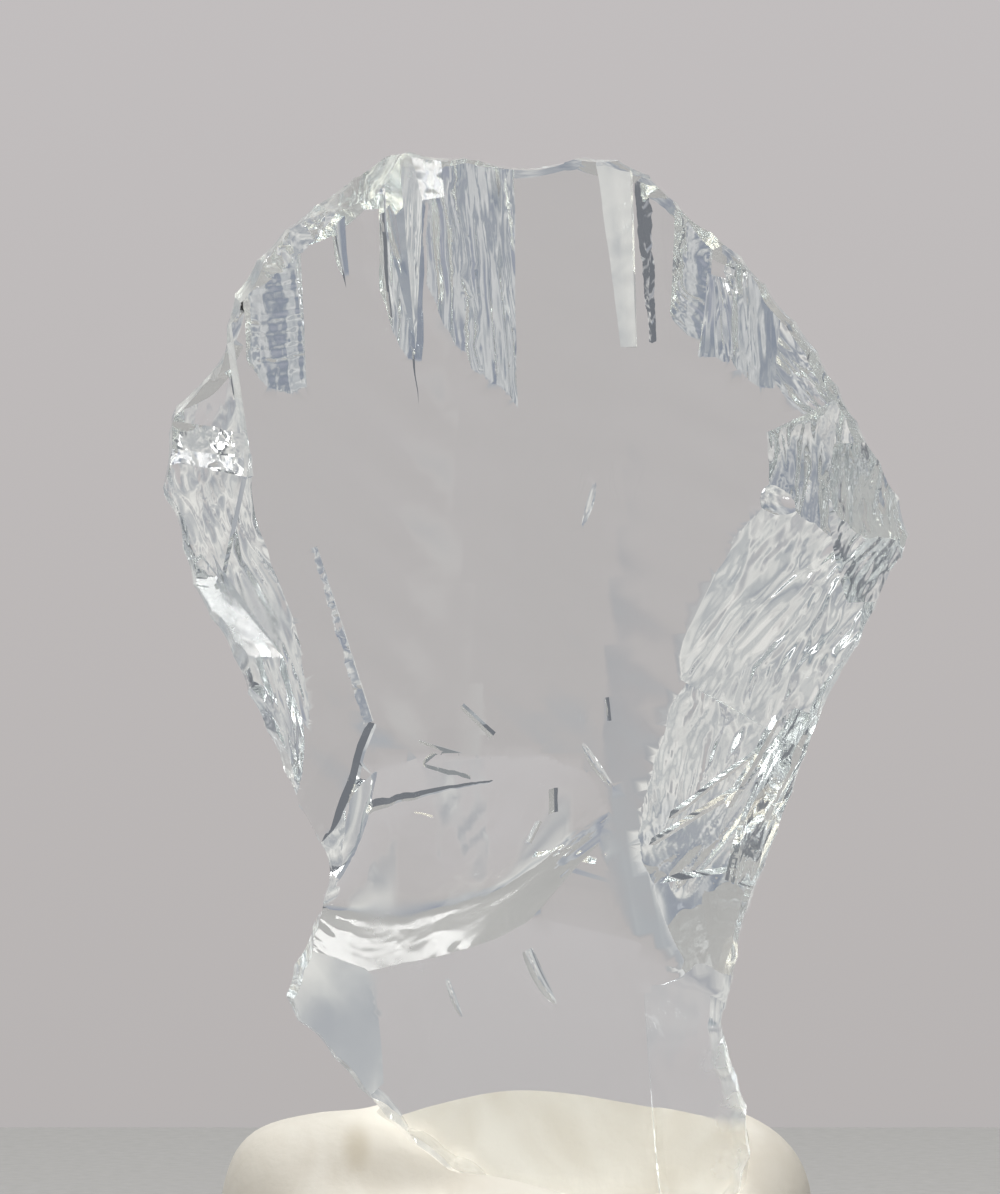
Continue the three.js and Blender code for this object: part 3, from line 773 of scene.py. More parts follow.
scar("left_front", FRONT, [(-17.4, -5.9, 44.0), (-12.2, -5.9, 27.6)], (-9.4, -6.6, 38.6), 0.2, 0, (1.05, 1.5),
     (1.0, 1.0))
groove("left_bright", FRONT, (-18.0, -2.5, 44.2), (-11.9, -6.5, 36.9), (6.0, 1.15), (0.7, 2.6), 0.4, 0.14,
       0.02,
       seed=67, relief=[tears(0.04, 2.6, 0.8, 164, turn=75, octaves=2), swells(0.06, 3.0, 264)])
print("with torn sides:", len(cutters))

# %% [markdown]
# ## Flutes down from the top edge
#
# Each flute is a blow on the top edge. Its strips stand nearly upright, and because it thins towards the
# edge it bends the view down past the back of the table, which is why flutes look dark blue between the
# clear faces.

# %% Flutes
FLUTED = (0.085, 0.4)
scar("flute_a", BACK, [(-15.9, 2.1, 62.4), (-12.3, 1.7, 62.4)], (-14.0, 5.3, 54.4), 0.4, 0, (1.0, 1.5),
     (0.14, 0.16),
     [arcs(0.05, 0.7, 31, strike=(0.6, 1.4)), strips(0.05, 0.4, 131), tears(0.05, 1.6, 0.5, 132, turn=84)])
scar("flute_b", BACK, [(-10.5, 3.6, 65.4), (-9.7, 3.2, 65.3)], (-9.9, 5.5, 60.4), 0.2, 0, (1.0, 1.5),
     (0.2, 0.4))
scar("flute_c", BACK, [(-7.6, 1.4, 69.0), (-4.9, 0.2, 68.5)], (-6.2, 5.7, 57.2), 0.4, 0, (1.0, 1.4), FLUTED,
     [strips(0.065, 0.5, 33, sway=0.08), arcs(0.02, 0.9, 133), tears(0.04, 5.0, 0.4, 233, 88)])
scar("flute_d", BACK, [(-4.7, 2.3, 69.2), (0.3, 0.2, 68.5)], (-2.2, 5.9, 56.0), 0.2, 0, (1.0, 1.5), FLUTED,
     [strips(0.12, 0.42, 34, turn=-5, sway=0.07), strips(0.05, 1.3, 134, turn=-4),
      tears(0.05, 6.0, 0.35, 234, 85)])
scar("flute_e", BACK, [(9.8, 2.7, 64.5), (12.2, 2.1, 64.1)], (11.0, 5.3, 57.6), 0.25, 0, (1.0, 1.5),
     (0.12, 0.1),
     [arcs(0.05, 0.55, 35, strike=(1.8, -0.4)), tears(0.04, 1.5, 0.4, 235, 80)])
scar("flute_f", BACK, [(13.5, 2.4, 62.0), (16.4, 1.6, 61.4)], (14.9, 5.2, 54.6), 0.3, 0, (1.0, 1.5), FLUTED,
     [strips(0.11, 0.42, 36, turn=-8, sway=0.08), tears(0.05, 5.0, 0.4, 136, 82)])
scar("right_shoulder", BACK, [(14.6, 3.0, 63.2), (21.0, 2.6, 53.0)], (15.8, 5.1, 55.6), 0.3, 0, (1.0, 1.5),
     TORN,
     [hackle(0.14, 2.4, 0.5, 236, turn=-10), patchy(tears(0.16, 2.0, 0.6, 137, turn=-24), 2.4, 337)])
dish("fan_flute", BACK, [
    [(11.8, 3.3, 61.6), (12.4, 3.3, 61.4), (13.0, 3.3, 61.2)],
    [(11.5, 4.2, 58.6), (12.7, 4.1, 58.4), (14.0, 4.1, 58.2)],
    [(10.9, 5.8, 55.0), (13.0, 5.7, 54.6), (15.2, 5.6, 54.2)],
], (0.07, 0.3), [strips(0.08, 0.34, 37, sway=0.02)])
scar("top_bright", FRONT, [(-9.4, -3.6, 69.4), (-4.4, -3.4, 69.8)], (-6.6, -5.5, 65.2), 0.15, 0, (1.1, 1.4),
     (0.16, 0.14),
     [tears(0.05, 1.4, 0.5, 66, turn=20), hackle(0.07, 1.4, 0.45, 166, turn=30)])
scar("flute_front_left", FRONT, [(-16.6, -3.6, 61.4), (-10.2, -3.8, 67.6)], (-12.0, -5.3, 62.6), 0.3, 0,
     (1.0, 1.4),
     (0.2, 0.2), [tears(0.12, 1.6, 0.5, 38, turn=80), hackle(0.08, 1.6, 0.4, 138, turn=95)])
print("with flutes:", len(cutters))

# %% [markdown]
# ## Low in the front face
#
# A great bowl was struck out above the foot. Its lower rim is steep and faces up, so it catches the lamp in
# front and shines white. A smooth face lies below it, and a thin open crack runs across behind it.

# %% Bowl and foot
dish("great_bowl", FRONT, [
    [(-13.2, -5.2, 21.0), (-10.0, -6.8, 18.6), (-6.7, -7.8, 17.3), (-3.1, -7.6, 18.6), (0.9, -7.7, 21.0),
     (4.8, -7.8, 24.8), (8.2, -7.9, 28.2)],
    [(-13.0, -4.5, 22.6), (-9.8, -6.0, 20.2), (-6.6, -7.0, 18.9), (-3.4, -6.9, 20.2), (0.2, -6.9, 22.4),
     (4.0, -7.1, 26.0), (7.4, -7.3, 29.2)],
    [(-13.0, -4.0, 24.1), (-9.8, -5.1, 22.1), (-6.6, -5.9, 21.3), (-3.4, -5.9, 22.3), (0.0, -6.05, 24.0),
     (3.9, -6.8, 27.1), (7.3, -7.2, 29.9)],
    [(-12.6, -4.4, 25.4), (-9.7, -4.3, 24.0), (-6.6, -4.9, 23.6), (-3.5, -4.9, 24.4), (-0.1, -5.3, 25.6),
     (3.7, -6.5, 28.2), (7.2, -7.1, 30.6)],
    [(-11.0, -7.0, 29.2), (-8.8, -5.4, 29.0), (-6.0, -5.4, 29.5), (-2.6, -5.8, 30.0), (0.8, -6.4, 31.0),
     (4.0, -6.9, 31.8), (7.2, -7.4, 32.4)],
    [(-9.8, -7.8, 35.8), (-7.8, -7.5, 36.2), (-5.4, -7.5, 36.5), (-2.0, -7.5, 36.4), (1.2, -7.6, 35.6),
     (4.2, -7.7, 34.8), (7.0, -7.8, 34.0)],
], (0.3, 0.25), [swells(0.012, 3.0, 45), patchy(tears(0.05, 1.4, 0.8, 145, turn=30), 2.2, 245, least=0.0)])
scar("foot_face", FRONT, [(-11.0, -4.4, 9.6), (12.0, -4.2, 4.0)], (3.0, -7.3, 22.5), 0.3, 0.2, (1.15, 1.3),
     (1.0, 1.0))
scar("corner_facet", FRONT, [(-13.9, -3.4, 18.0), (-9.2, -3.9, 12.6)], (-9.4, -5.8, 19.8), 0.15, 0,
     (1.2, 1.4),
     (0.4, 0.4), [arcs(0.006, 1.0, 43)])
print("with the bowl:", len(cutters))

# %% [markdown]
# ## Notches and ledges in front
#
# A notch or a ledge is two flat walls that meet in a line, so one V-shaped tool makes it. Each wall is given
# by how far it runs and how much it rises, and a wall that faces the lamp shines as one pale plane. A scar
# tool could not do this, as its floor is a dish without a corner.

# %% Notches and ledges
groove("pointed_notch", FRONT, (-6.6, -2.6, 69.6), (-5.2, -6.1, 53.6), (1.0, 1.1), (1.6, 2.2), seed=51)
groove("flat_ended_flute", FRONT, (7.2, -3.7, 69.4), (7.6, -5.1, 57.0), (3.6, 2.02), (0.3, 2.6), 0, 0.3,
       0.01, seed=52,
       relief=[strips(0.025, 0.9, 152, turn=-3), swells(0.02, 5.0, 252)])
groove("block_side", FRONT, (-17.2, -2.6, 60.0), (-15.6, -3.2, 49.6), (6.0, 0.2), (0.8, 3.4), 0.4, seed=53)
groove("block_shelf", FRONT, (-15.8, -2.4, 49.4), (-21.6, -1.8, 50.6), (6.6, 0.9), (1.6, 1.2), 0.3, seed=54,
       relief=[tears(0.05, 2.0, 0.8, 154, 20)])
groove("cube_top", FRONT, (-15.8, -2.0, 50.5), (-21.6, -1.4, 51.3), (1.3, 0.6), (1.6, 1.2), 0.2, 0.12, 0.05,
       seed=62,
       relief=[tears(0.07, 0.9, 0.5, 162)])
print("with notches:", len(cutters))

# %% [markdown]
# ## Dark lines behind
#
# An open crack in clear glass looks dark although nothing in it is. Its walls are so steep that they throw
# the view far to the side, where the studio is dark. So each line is a narrow V cut into the back, with walls
# some three times as tall as they are wide. A painted line would be dark from every side, which is wrong.

# %% Dark lines
groove("dark_strip", BACK, (7.9, 2.9, 69.6), (8.4, 4.2, 57.4), (0.5, 2.4), (0.62, 2.4), 0.1, 0.12, 0.05,
       seed=63,
       relief=[tears(0.24, 0.9, 0.35, 163, 60)])
groove("dark_ledge", BACK, (-8.0, 4.5, 34.2), (-11.6, 4.1, 23.0), (0.72, 2.7), (0.35, 2.7), 0.2, seed=55)
groove("crack", BACK, (-8.4, 3.5, 30.4), (-0.4, 6.4, 32.1), (0.98, 3.3), (0.1, 3.3), 0.1, 0.3, 0.05, seed=56)
groove("notch_left", BACK, (-7.35, 1.5, 66.4), (-6.8, 4.2, 58.9), (0.3, 1.1), (0.3, 1.1), 0.1, seed=48)
groove("notch_edge", BACK, (-6.9, 4.9, 59.2), (-5.3, 5.0, 56.8), (0.5, 1.8), (0.5, 1.8), 0.1, seed=64)
groove("notch_tail", BACK, (-5.4, 5.0, 57.0), (-5.2, 5.4, 53.6), (0.4, 1.6), (0.4, 1.6), 0.1, seed=65)
groove("dark_seam_high", BACK, (15.9, 1.6, 34.6), (13.0, 2.9, 29.6), (0.37, 1.4), (0.37, 1.4), 0.2, seed=57)
groove("dark_seam_low", BACK, (13.4, 2.8, 30.4), (8.2, 5.5, 27.2), (0.37, 1.4), (0.37, 1.4), 0.2, seed=58)
groove("dark_seam_inner", BACK, (14.4, 2.6, 32.6), (9.4, 4.9, 28.8), (0.37, 1.4), (0.37, 1.4), 0.2, seed=60)
groove("foot_line", BACK, (8.9, 5.6, 24.8), (13.2, 3.1, 25.6), (0.7, 1.8), (0.1, 1.8), 0.1, seed=69)
groove("thin_line_left", BACK, (-17.0, 3.4, 58.6), (-16.6, 4.2, 54.0), (0.4, 1.5), (0.4, 1.5), 0.1, seed=59)
groove("thin_line_top", BACK, (-10.5, 3.0, 65.6), (-9.6, 4.8, 60.6), (0.4, 1.5), (0.4, 1.5), 0.1, seed=61)
print("with dark lines:", len(cutters))

# %% [markdown]
# ## Small cracks
#
# A handful of short cracks lie in the middle, each a smaller V of the same kind. One that lies level gets one
# steep wall and one gentle one, so that it shows as a thin line with a light side. They are a list and a
# loop, since only their ends and depths differ.

# %% Small open cracks
# Each crack: its two ends in the front view, and its depth.
SMALL_CRACK_FACE = 6.9  # how far behind the middle the broad back face lies there
SMALL_CRACKS = [
    ((-4.8, 33.4), (-2.0, 32.5), 0.9), ((-2.3, 35.4), (-0.6, 33.8), 1.0), ((-5.4, 29.9), (-4.3, 29.7), 0.7),
    ((3.4, 31.3), (3.6, 29.9), 1.1), ((2.6, 29.2), (2.2, 28.1), 0.9), ((3.0, 27.1), (5.2, 26.5), 0.9),
    ((5.5, 35.8), (5.6, 34.7), 0.8), ((-10.0, 28.2), (-7.4, 27.8), 0.5),
]
for number, (start, end, depth) in enumerate(SMALL_CRACKS):
    ends = [(x, SMALL_CRACK_FACE - depth, z) for x, z in (start, end)]
    is_level = 2 * abs(end[1] - start[1]) < abs(end[0] - start[0])
    runs = (0.6, 0.06) if is_level else (0.42, 0.42)
    walls = [(run * depth, depth + 0.4) for run in runs]
    groove(f"small_crack_{number}", BACK, *ends, *walls, 0.15, 0.25, 0.04, seed=70 + number)
groove("facet_line", FRONT, (-11.3, -5.15, 45.0), (-8.1, -5.5, 35.0), (0.7, 0.5), (0.12, 0.6), 0.2, 0.2,
       0.06, seed=66,
       relief=[tears(0.14, 1.2, 0.6, 166)])
print("with small cracks:", len(cutters))

# %% [markdown]
# ## Nicks
#
# A light knock on a broad face leaves a shallow crescent. The tool is a small bowl, bent along its length,
# that barely dips below the face. Its place is given in the front view alone, and the depth of the face
# there is worked out, so that a nick can be moved without cutting into thin air.

# %% Nicks
# Small crescent scars: middle in the front view, side, length and width, and the turn from level.
NICKS = [
    ((4.9, 48.0), FRONT, 3.6, 0.6, 75), ((-2.9, 17.6), FRONT, 2.8, 0.4, -65),
    ((1.9, 19.5), FRONT, 2.6, 0.4, -62), ((-2.9, 26.7), FRONT, 1.9, 0.4, 60),
    ((5.3, 32.1), FRONT, 2.6, 0.4, -55), ((-10.0, 40.6), FRONT, 1.2, 0.7, 60),
    ((-13.4, 54.0), BACK, 0.9, 0.8, 0),
]
NICK_DEPTH = 0.45  # of its width
BROAD_FACE = 6.75  # how far the broad faces lie from the middle plane
FACE_BEND, FACE_LEAN = 40, 1.9 / 28  # above this height they draw in by this much a millimetre
FOOT_TOP, FOOT_DROP = 30, 0.9  # below this height the front face lies this much deeper


def nick(number, centre, side, length, width, turn):
    """A small elongated bowl, cut into whichever broad face lies there."""
    x, z = centre
    angle = math.radians(turn)
    foot_drop = FOOT_DROP if z < FOOT_TOP and side == FRONT else 0.0
    depth = BROAD_FACE - FACE_LEAN * max(0.0, z - FACE_BEND) - foot_drop
    across = np.array([math.cos(angle), 0, math.sin(angle)])
    along = np.array([-math.sin(angle), 0, math.cos(angle)])

    def surface(u, v):
        bend = v - 0.12 * u**2 / length
        return width * NICK_DEPTH * ((u / length * 2) ** 2 + (bend / width * 2) ** 2 - 1.0) + 0.1 * v

    lines = even_lines(length * 0.75, length / 10), even_lines(width * 1.2, width / 5)
    middle, out = np.array([x, side * depth, z]), np.array([0, side, 0])
    add_cutter(f"nick_{number}", *grid_block(middle, across, along, out, *lines, surface, 2.0))


for number, (centre, side, length, width, turn) in enumerate(NICKS):
    nick(number, centre, side, length, width, turn)
print("with nicks:", len(cutters))

# %% [markdown]
# ## Cutting
#
# Each tool becomes one boolean modifier, and the whole stack is worked out in one go with the solver that
# keeps every cut closed. Tools with few faces go first and fine ones last, so the fine grids are cut only a
# few times.


# %% Cut the large breaks
def cut(target, tools):
    """Cuts the tools from the target in turn, leaves a plain mesh and removes the tools."""
    for tool in tools:
        modifier = target.modifiers.new(tool.name, "BOOLEAN")
        modifier.operation = "DIFFERENCE"
        modifier.solver = "MANIFOLD"
        modifier.object = tool
    graph = bpy.context.evaluated_depsgraph_get()
    mesh = bpy.data.meshes.new_from_object(target.evaluated_get(graph))
    target.modifiers.clear()
    target.data = mesh
    for tool in tools:
        bpy.data.objects.remove(tool)


cut(slab, sorted(cutters, key=lambda tool: len(tool.data.polygons)))
print("large breaks cut:", len(slab.data.polygons), "faces")

# %% [markdown]
# ## Chips along the rim
#
# The rim is chipped all round from both sides, which is what repeats on this object, so Geometry Nodes lays
# the chips out. The outline becomes a curve, a tool is set at even steps along it, turned to follow the
# curve and leaned in by an amount that changes round the rim.

# %% Rim ring
# For each stretch of the outline, by its first point: the depth of the ridge between the chips in front
# and behind, and how far they reach in, in front and behind, in millimetres.
RIM_STRETCHES = [
    (0, 1.2, 0.5, 1.2), (4, -0.8, 0.6, 0.7), (9, -0.6, 1.6, 2.2), (12, -1.4, 0.35, 0.4), (18, -1.6, 0.5, 0.7),
    (24, -2.4, 0.6, 0.9), (32, -3.0, 0.6, 0.7), (36, -2.4, 0.3, 0.35), (40, -1.2, 0.35, 0.4),
    (43, -0.5, 0.6, 0.7), (47, 0.0, 0.6, 0.8), (49, -0.6, 0.3, 0.35), (51, -1.0, 0.35, 0.45),
    (54, -1.0, 0.9, 1.3),
]
RING_STEP = 0.8  # spacing of the ring's points
RIDGE_WANDER = 0.35  # how far the ridge wanders in and out
FACE_DEPTH = 6.3  # depth of the broad faces beside the rim


def rim_ring():
    """A closed ring of edges round the outline, at the ridge's depth, that carries both reaches."""
    corners = np.array([*OUTLINE, OUTLINE[0]], float)
    travelled = np.concatenate([[0], np.cumsum(np.hypot(*np.diff(corners, axis=0).T))])
    steps = np.arange(0, travelled[-1] - RING_STEP / 2, RING_STEP)
    x, z = (np.interp(steps, travelled, corners[:, axis]) for axis in (0, 1))
    starts = travelled[[first for first, *_ in RIM_STRETCHES]] + 1.5
    ridge, front, back = (
        np.interp(steps, starts, [stretch[column] for stretch in RIM_STRETCHES], period=travelled[-1])
        for column in (1, 2, 3)
    )
    ridge = ridge + RIDGE_WANDER * waves(steps, 7.0, np.random.default_rng(77))
    mesh = bpy.data.meshes.new("rim")
    edges = [(i, (i + 1) % len(steps)) for i in range(len(steps))]
    mesh.from_pydata((np.column_stack([x, ridge, z]) * MM).tolist(), edges, [])
    for name, values in [("front_lean", front / FACE_DEPTH), ("back_lean", back / FACE_DEPTH)]:
        mesh.attributes.new(name, "FLOAT", "POINT").data.foreach_set("value", values)
    ring = bpy.data.objects.new("rim", mesh)
    bpy.context.scene.collection.objects.link(ring)
    return ring


def chip_tool(name, side, half_width, length, bow, cell, seed):
    """A block whose underside is a small dished scar; x runs along the rim, y from the rim into the face."""
    u_lines = even_lines(half_width * 1.25, cell)
    v_lines = np.linspace(-0.35 * length, length, max(4, int(1.35 * length / cell)))
    relief = [arcs(0.012, 0.8, seed, strike=(0, -0.6)), strips(0.02, 0.6, seed + 1, fan=0.2)]

    def surface(u, v):
        return bow * ((u / half_width) ** 2 - 1) + sum(part(u, v, half_width, length) for part in relief)

    x_axis, y_axis, z_axis = np.eye(3)
    block = grid_block(np.zeros(3), x_axis, y_axis, side * z_axis, u_lines, v_lines, surface, height=5.0)
    tool = bpy.data.objects.new(name, solid_mesh(name, *block))
    bpy.context.scene.collection.objects.link(tool)
    return tool


# %% [markdown]
# ## The chip tree
#
# The tree reads the ring and a chip tool and gives the placed chips. A chip's two axes come from the ring's
# tangent and from the way into the glass, so it always faces the rim. Its sizes are named inputs and its
# seed is fixed. Touching tools would spoil a cut, so the chips are dealt out in batches afterwards.

# %% Geometry Nodes: chips along the ring
CHIP_INPUTS = [
    ("Chip", "Object"), ("Side", "Float"), ("Lean Attribute", "String"), ("Step", "Float"),
    ("Sink", "Float"), ("Smallest", "Float"), ("Largest", "Float"), ("Seed", "Int"), ("Material", "Material"),
]


def chip_tree():
    tree = bpy.data.node_groups.new("chips_along_rim", "GeometryNodeTree")
    face = tree.interface
    face.new_socket("Ring", in_out="INPUT", socket_type="NodeSocketGeometry")
    for name, kind in CHIP_INPUTS:
        face.new_socket(name, in_out="INPUT", socket_type="NodeSocket" + kind)
    face.new_socket("Chips", in_out="OUTPUT", socket_type="NodeSocketGeometry")
    given = add_node(tree, "NodeGroupInput").outputs

    def scalar(operation, *sources):
        return feed(tree, add_node(tree, "ShaderNodeMath", operation=operation), *sources)

    def vector(operation, *sources):
        return feed(tree, add_node(tree, "ShaderNodeVectorMath", operation=operation), *sources)

    def random(low, high, run):
        seed = scalar("ADD", given["Seed"], float(run))
        node = add_node(tree, "FunctionNodeRandomValue", data_type="FLOAT")
        return feed(tree, node, low, high, None, seed)

    curve = feed(tree, add_node(tree, "GeometryNodeMeshToCurve"), given["Ring"])
    resample = add_node(tree, "GeometryNodeResampleCurve", mode="LENGTH")
    spaced = feed(tree, resample, curve, None, given["Step"])
    tangent = add_node(tree, "GeometryNodeInputTangent").outputs["Tangent"]
    inward = vector("CROSS_PRODUCT", (0, 1, 0), tangent)
    attribute = add_node(tree, "GeometryNodeInputNamedAttribute", data_type="FLOAT")
    lean = scalar("MULTIPLY", feed(tree, attribute, given["Lean Attribute"]), random(0.4, 1.7, 1))
    depthwise = feed(tree, add_node(tree, "ShaderNodeCombineXYZ"), 0.0, given["Side"], 0.0)
    into = vector("ADD", depthwise, vector("SCALE", inward, lean))
    turn = add_node(tree, "FunctionNodeAxesToRotation", primary_axis="X", secondary_axis="Y")
    rotation = feed(tree, turn, tangent, into)
    sink = vector("SCALE", inward, scalar("MULTIPLY", given["Sink"], random(-1.0, 1.0, 2)))
    sunk = feed(tree, add_node(tree, "GeometryNodeSetPosition"), spaced, None, None, sink)
    chip = add_node(tree, "GeometryNodeObjectInfo")
    feed(tree, chip, given["Chip"])
    stretch = random(given["Smallest"], given["Largest"], 3)
    size = feed(tree, add_node(tree, "ShaderNodeCombineXYZ"), stretch, 1.0, 1.0)
    placing = add_node(tree, "GeometryNodeInstanceOnPoints")
    placed = feed(tree, placing, sunk, None, chip.outputs["Geometry"], None, None, rotation, size)
    real = feed(tree, add_node(tree, "GeometryNodeRealizeInstances"), placed)
    finished = feed(tree, add_node(tree, "GeometryNodeSetMaterial"), real, None, given["Material"])
    feed(tree, add_node(tree, "NodeGroupOutput"), finished)
    return tree


def chips_round_rim(tree, ring, tool, batches, **values):
    """Runs the tree on the ring and splits its chips into tools in which no two chips touch."""
    modifier = ring.modifiers.new("chips", "NODES")
    modifier.node_group = tree
    sockets = {item.name: item.identifier for item in tree.interface.items_tree if item.in_out == "INPUT"}
    for name, value in {"Chip": tool, **values}.items():
        modifier[sockets[name]] = value
    ring.update_tag()
    graph = bpy.context.evaluated_depsgraph_get()
    chips = bpy.data.meshes.new_from_object(ring.evaluated_get(graph))
    ring.modifiers.clear()
    corners, per_chip = len(tool.data.vertices), len(tool.data.polygons)
    count = len(chips.vertices) // corners
    points = np.array([vertex.co for vertex in chips.vertices]) / MM
    faces = [tuple(tool_face.vertices) for tool_face in tool.data.polygons]
    for batch in range(batches):
        chosen = range(batch, count - (count % batches), batches)
        batch_points = np.concatenate([points[chip * corners:(chip + 1) * corners] for chip in chosen])
        batch_faces = [
            tuple(corner + place * corners for corner in face)
            for place in range(len(chosen))
            for face in faces
        ]
        add_cutter(f"{tool.name}_{batch}", batch_points, batch_faces)
    print(tool.name, count, "chips of", per_chip, "faces")
    bpy.data.meshes.remove(chips)
    bpy.data.objects.remove(tool)


# %% Chip the rim
ring = rim_ring()
tree = chip_tree()
cutters.clear()
for side, lean in ((FRONT, "front_lean"), (BACK, "back_lean")):
    name = "front" if side == FRONT else "back"
    tool = chip_tool(f"rim_chip_{name}", side, 1.9, 9.0, 0.35, 0.4, 201 + side)
    chips_round_rim(tree, ring, tool, 4, **{
        "Side": float(side), "Lean Attribute": lean, "Step": 2.5 * MM, "Sink": 0.0, "Smallest": 0.7,
        "Largest": 1.3, "Seed": 301 + side,
    })
    tool = chip_tool(f"small_chip_{name}", side, 0.8, 9.0, 0.16, 0.25, 211 + side)
    chips_round_rim(tree, ring, tool, 5, **{
        "Side": float(side), "Lean Attribute": lean, "Step": 1.3 * MM, "Sink": 0.2 * MM, "Smallest": 0.6,
        "Largest": 1.5, "Seed": 311 + side,
    })
cut(slab, cutters)
bpy.data.objects.remove(ring)
print("rim chipped:", len(slab.data.polygons), "faces")


# %% [markdown]
# ## Tidying the glass
#
# A chip now and then cuts a splinter right off, and it would hang in the air, so only the largest piece is
# kept. Then gentle breaks are shaded smooth and sharp ones stay crisp. One angle decides, as in an
# autosmooth, but it is stored on the edges, so that the mesh needs no modifier.

# %% Tidy the glass mesh
SHARPEST_SMOOTH = math.radians(24)  # breaks sharper than this keep a crisp line


def largest_piece(mesh):
    """Drops the splinters that a chip has cut right off."""
    work = bmesh.new()
    work.from_mesh(mesh)
    unseen = set(work.verts)
    pieces = []
    while unseen:
        start = unseen.pop()
        piece, queue = [start], [start]
        while queue:
            for edge in queue.pop().link_edges:
                for vertex in edge.verts:
                    if vertex in unseen:
                        unseen.remove(vertex)
                        piece.append(vertex)
                        queue.append(vertex)
        pieces.append(piece)
    pieces.sort(key=len)
    for piece in pieces[:-1]:
        bmesh.ops.delete(work, geom=piece, context="VERTS")
    bmesh.ops.triangulate(work, faces=work.faces)
    for face in work.faces:
        face.smooth = True
    for edge in work.edges:
        edge.smooth = edge.calc_face_angle(0) < SHARPEST_SMOOTH
    work.to_mesh(mesh)
    work.free()
    return len(pieces) - 1


dropped = largest_piece(slab.data)
print("glass:", len(slab.data.polygons), "triangles,", dropped, "splinters dropped")

# %% [markdown]
# ## Frost
#
# Where glass was crushed it goes faintly white: along the rim, and in a few bruised patches. How dull it is
# gets stored at each vertex, by its distance from the outline, and the material reads that attribute. Noise
# alone could not find the rim.

# %% Frost along the rim
FROST_REACH = 2.6  # how far in from the rim the glass is dulled, in millimetres
RIM_FROST = 0.35
# Bruised patches: middle in the front view, reach and strength.
BRUISES = [
    (-6.8, 21.6, 2.8, 0.8), (-2.4, 23.2, 1.6, 0.7), (-6.2, 67.6, 1.8, 0.8), (-15.6, 40.6, 2.4, 0.8),
    (-18.6, 50.8, 1.6, 0.6), (12.9, 14.8, 1.3, 1.0), (13.4, 11.8, 1.5, 1.0), (13.4, 8.6, 1.5, 1.0),
]


def frost_rim(mesh):
    """Stores how dull the glass is at each point: most at the rim, where the break was roughest."""
    points = np.array([vertex.co for vertex in mesh.vertices])[:, [0, 2]] / MM
    nearest = np.full(len(points), FROST_REACH)
    for start, end in zip(OUTLINE, [*OUTLINE[1:], OUTLINE[0]]):
        start, span = np.array(start), np.subtract(end, start)
        share = np.clip((points - start) @ span / (span @ span), 0, 1)
        nearest = np.minimum(nearest, np.linalg.norm(points - start - share[:, None] * span, axis=1))
    frost = RIM_FROST * (1 - nearest / FROST_REACH) ** 1.5
    for x, z, reach, strength in BRUISES:
        distance = np.hypot(points[:, 0] - x, points[:, 1] - z)
        frost = np.maximum(frost, strength * np.clip(1.5 - distance / reach, 0, 1))
    mesh.attributes.new("frost", "FLOAT", "POINT").data.foreach_set("value", frost)
    return float(frost.mean())


print("mean frost:", round(frost_rim(slab.data), 3))

# %% [markdown]
# ## The glass
#
# Plain transmission with the refractive index of soda glass. The faint blue-green is absorption inside the
# body, so thick places are tinted more than thin ones. Only the roughness changes over the surface: the
# breaks are glossy, and the chipped rim is a little frosted. The glass casts no shadow: in the render a
# clear body's shadow comes out nearly as dark as a solid one's, and would grey the putty behind it.


# %% Glass finish
def glass_material():
    material = new_material("clear_glass")
    tree = material.node_tree
    surface = add_node(tree, "ShaderNodeBsdfPrincipled", IOR=1.5)
    surface.inputs["Base Color"].default_value = (1, 1, 1, 1)
    surface.inputs["Transmission Weight"].default_value = 1.0
    frost = add_node(tree, "ShaderNodeAttribute", attribute_name="frost")
    place = add_node(tree, "ShaderNodeTexCoord")
    patchy = add_node(tree, "ShaderNodeTexNoise", Scale=700.0, Detail=3.0)
    tree.links.new(place.outputs["Object"], patchy.inputs["Vector"])
    product = add_node(tree, "ShaderNodeMath", operation="MULTIPLY")
    share = feed(tree, product, frost.outputs["Fac"], patchy.outputs["Fac"])
    dull = feed(tree, add_node(tree, "ShaderNodeMapRange"), share, 0.05, 0.6, 0.0, 0.35)
    tree.links.new(dull, surface.inputs["Roughness"])
    body = add_node(tree, "ShaderNodeVolumeAbsorption", Density=3.0)
    body.inputs["Color"].default_value = (0.56, 0.86, 0.88, 1)
    output = add_node(tree, "ShaderNodeOutputMaterial")
    tree.links.new(surface.outputs["BSDF"], output.inputs["Surface"])
    tree.links.new(body.outputs["Volume"], output.inputs["Volume"])
    return material


slab.data.materials.clear()
slab.data.materials.append(glass_material())
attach(slab, "root")
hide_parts("crystal")
slab.visible_shadow = False

# %% [markdown]
# ## The putty
#
# A pat of soft putty was pressed flat on the table and the glass was pushed into it, so it is a squashed ball
# with thumb-sized lobes, lower in front of the glass than behind it. Each lobe is a soft bump in one
# direction. It could be sculpted, but a list of lobes is shorter and can be changed one thumb at a time.

# %% Putty body
PUTTY_CENTRE = (0.0, 1.5, 3.2)
PUTTY_RADII = (17.5, 13.1, 9.1)
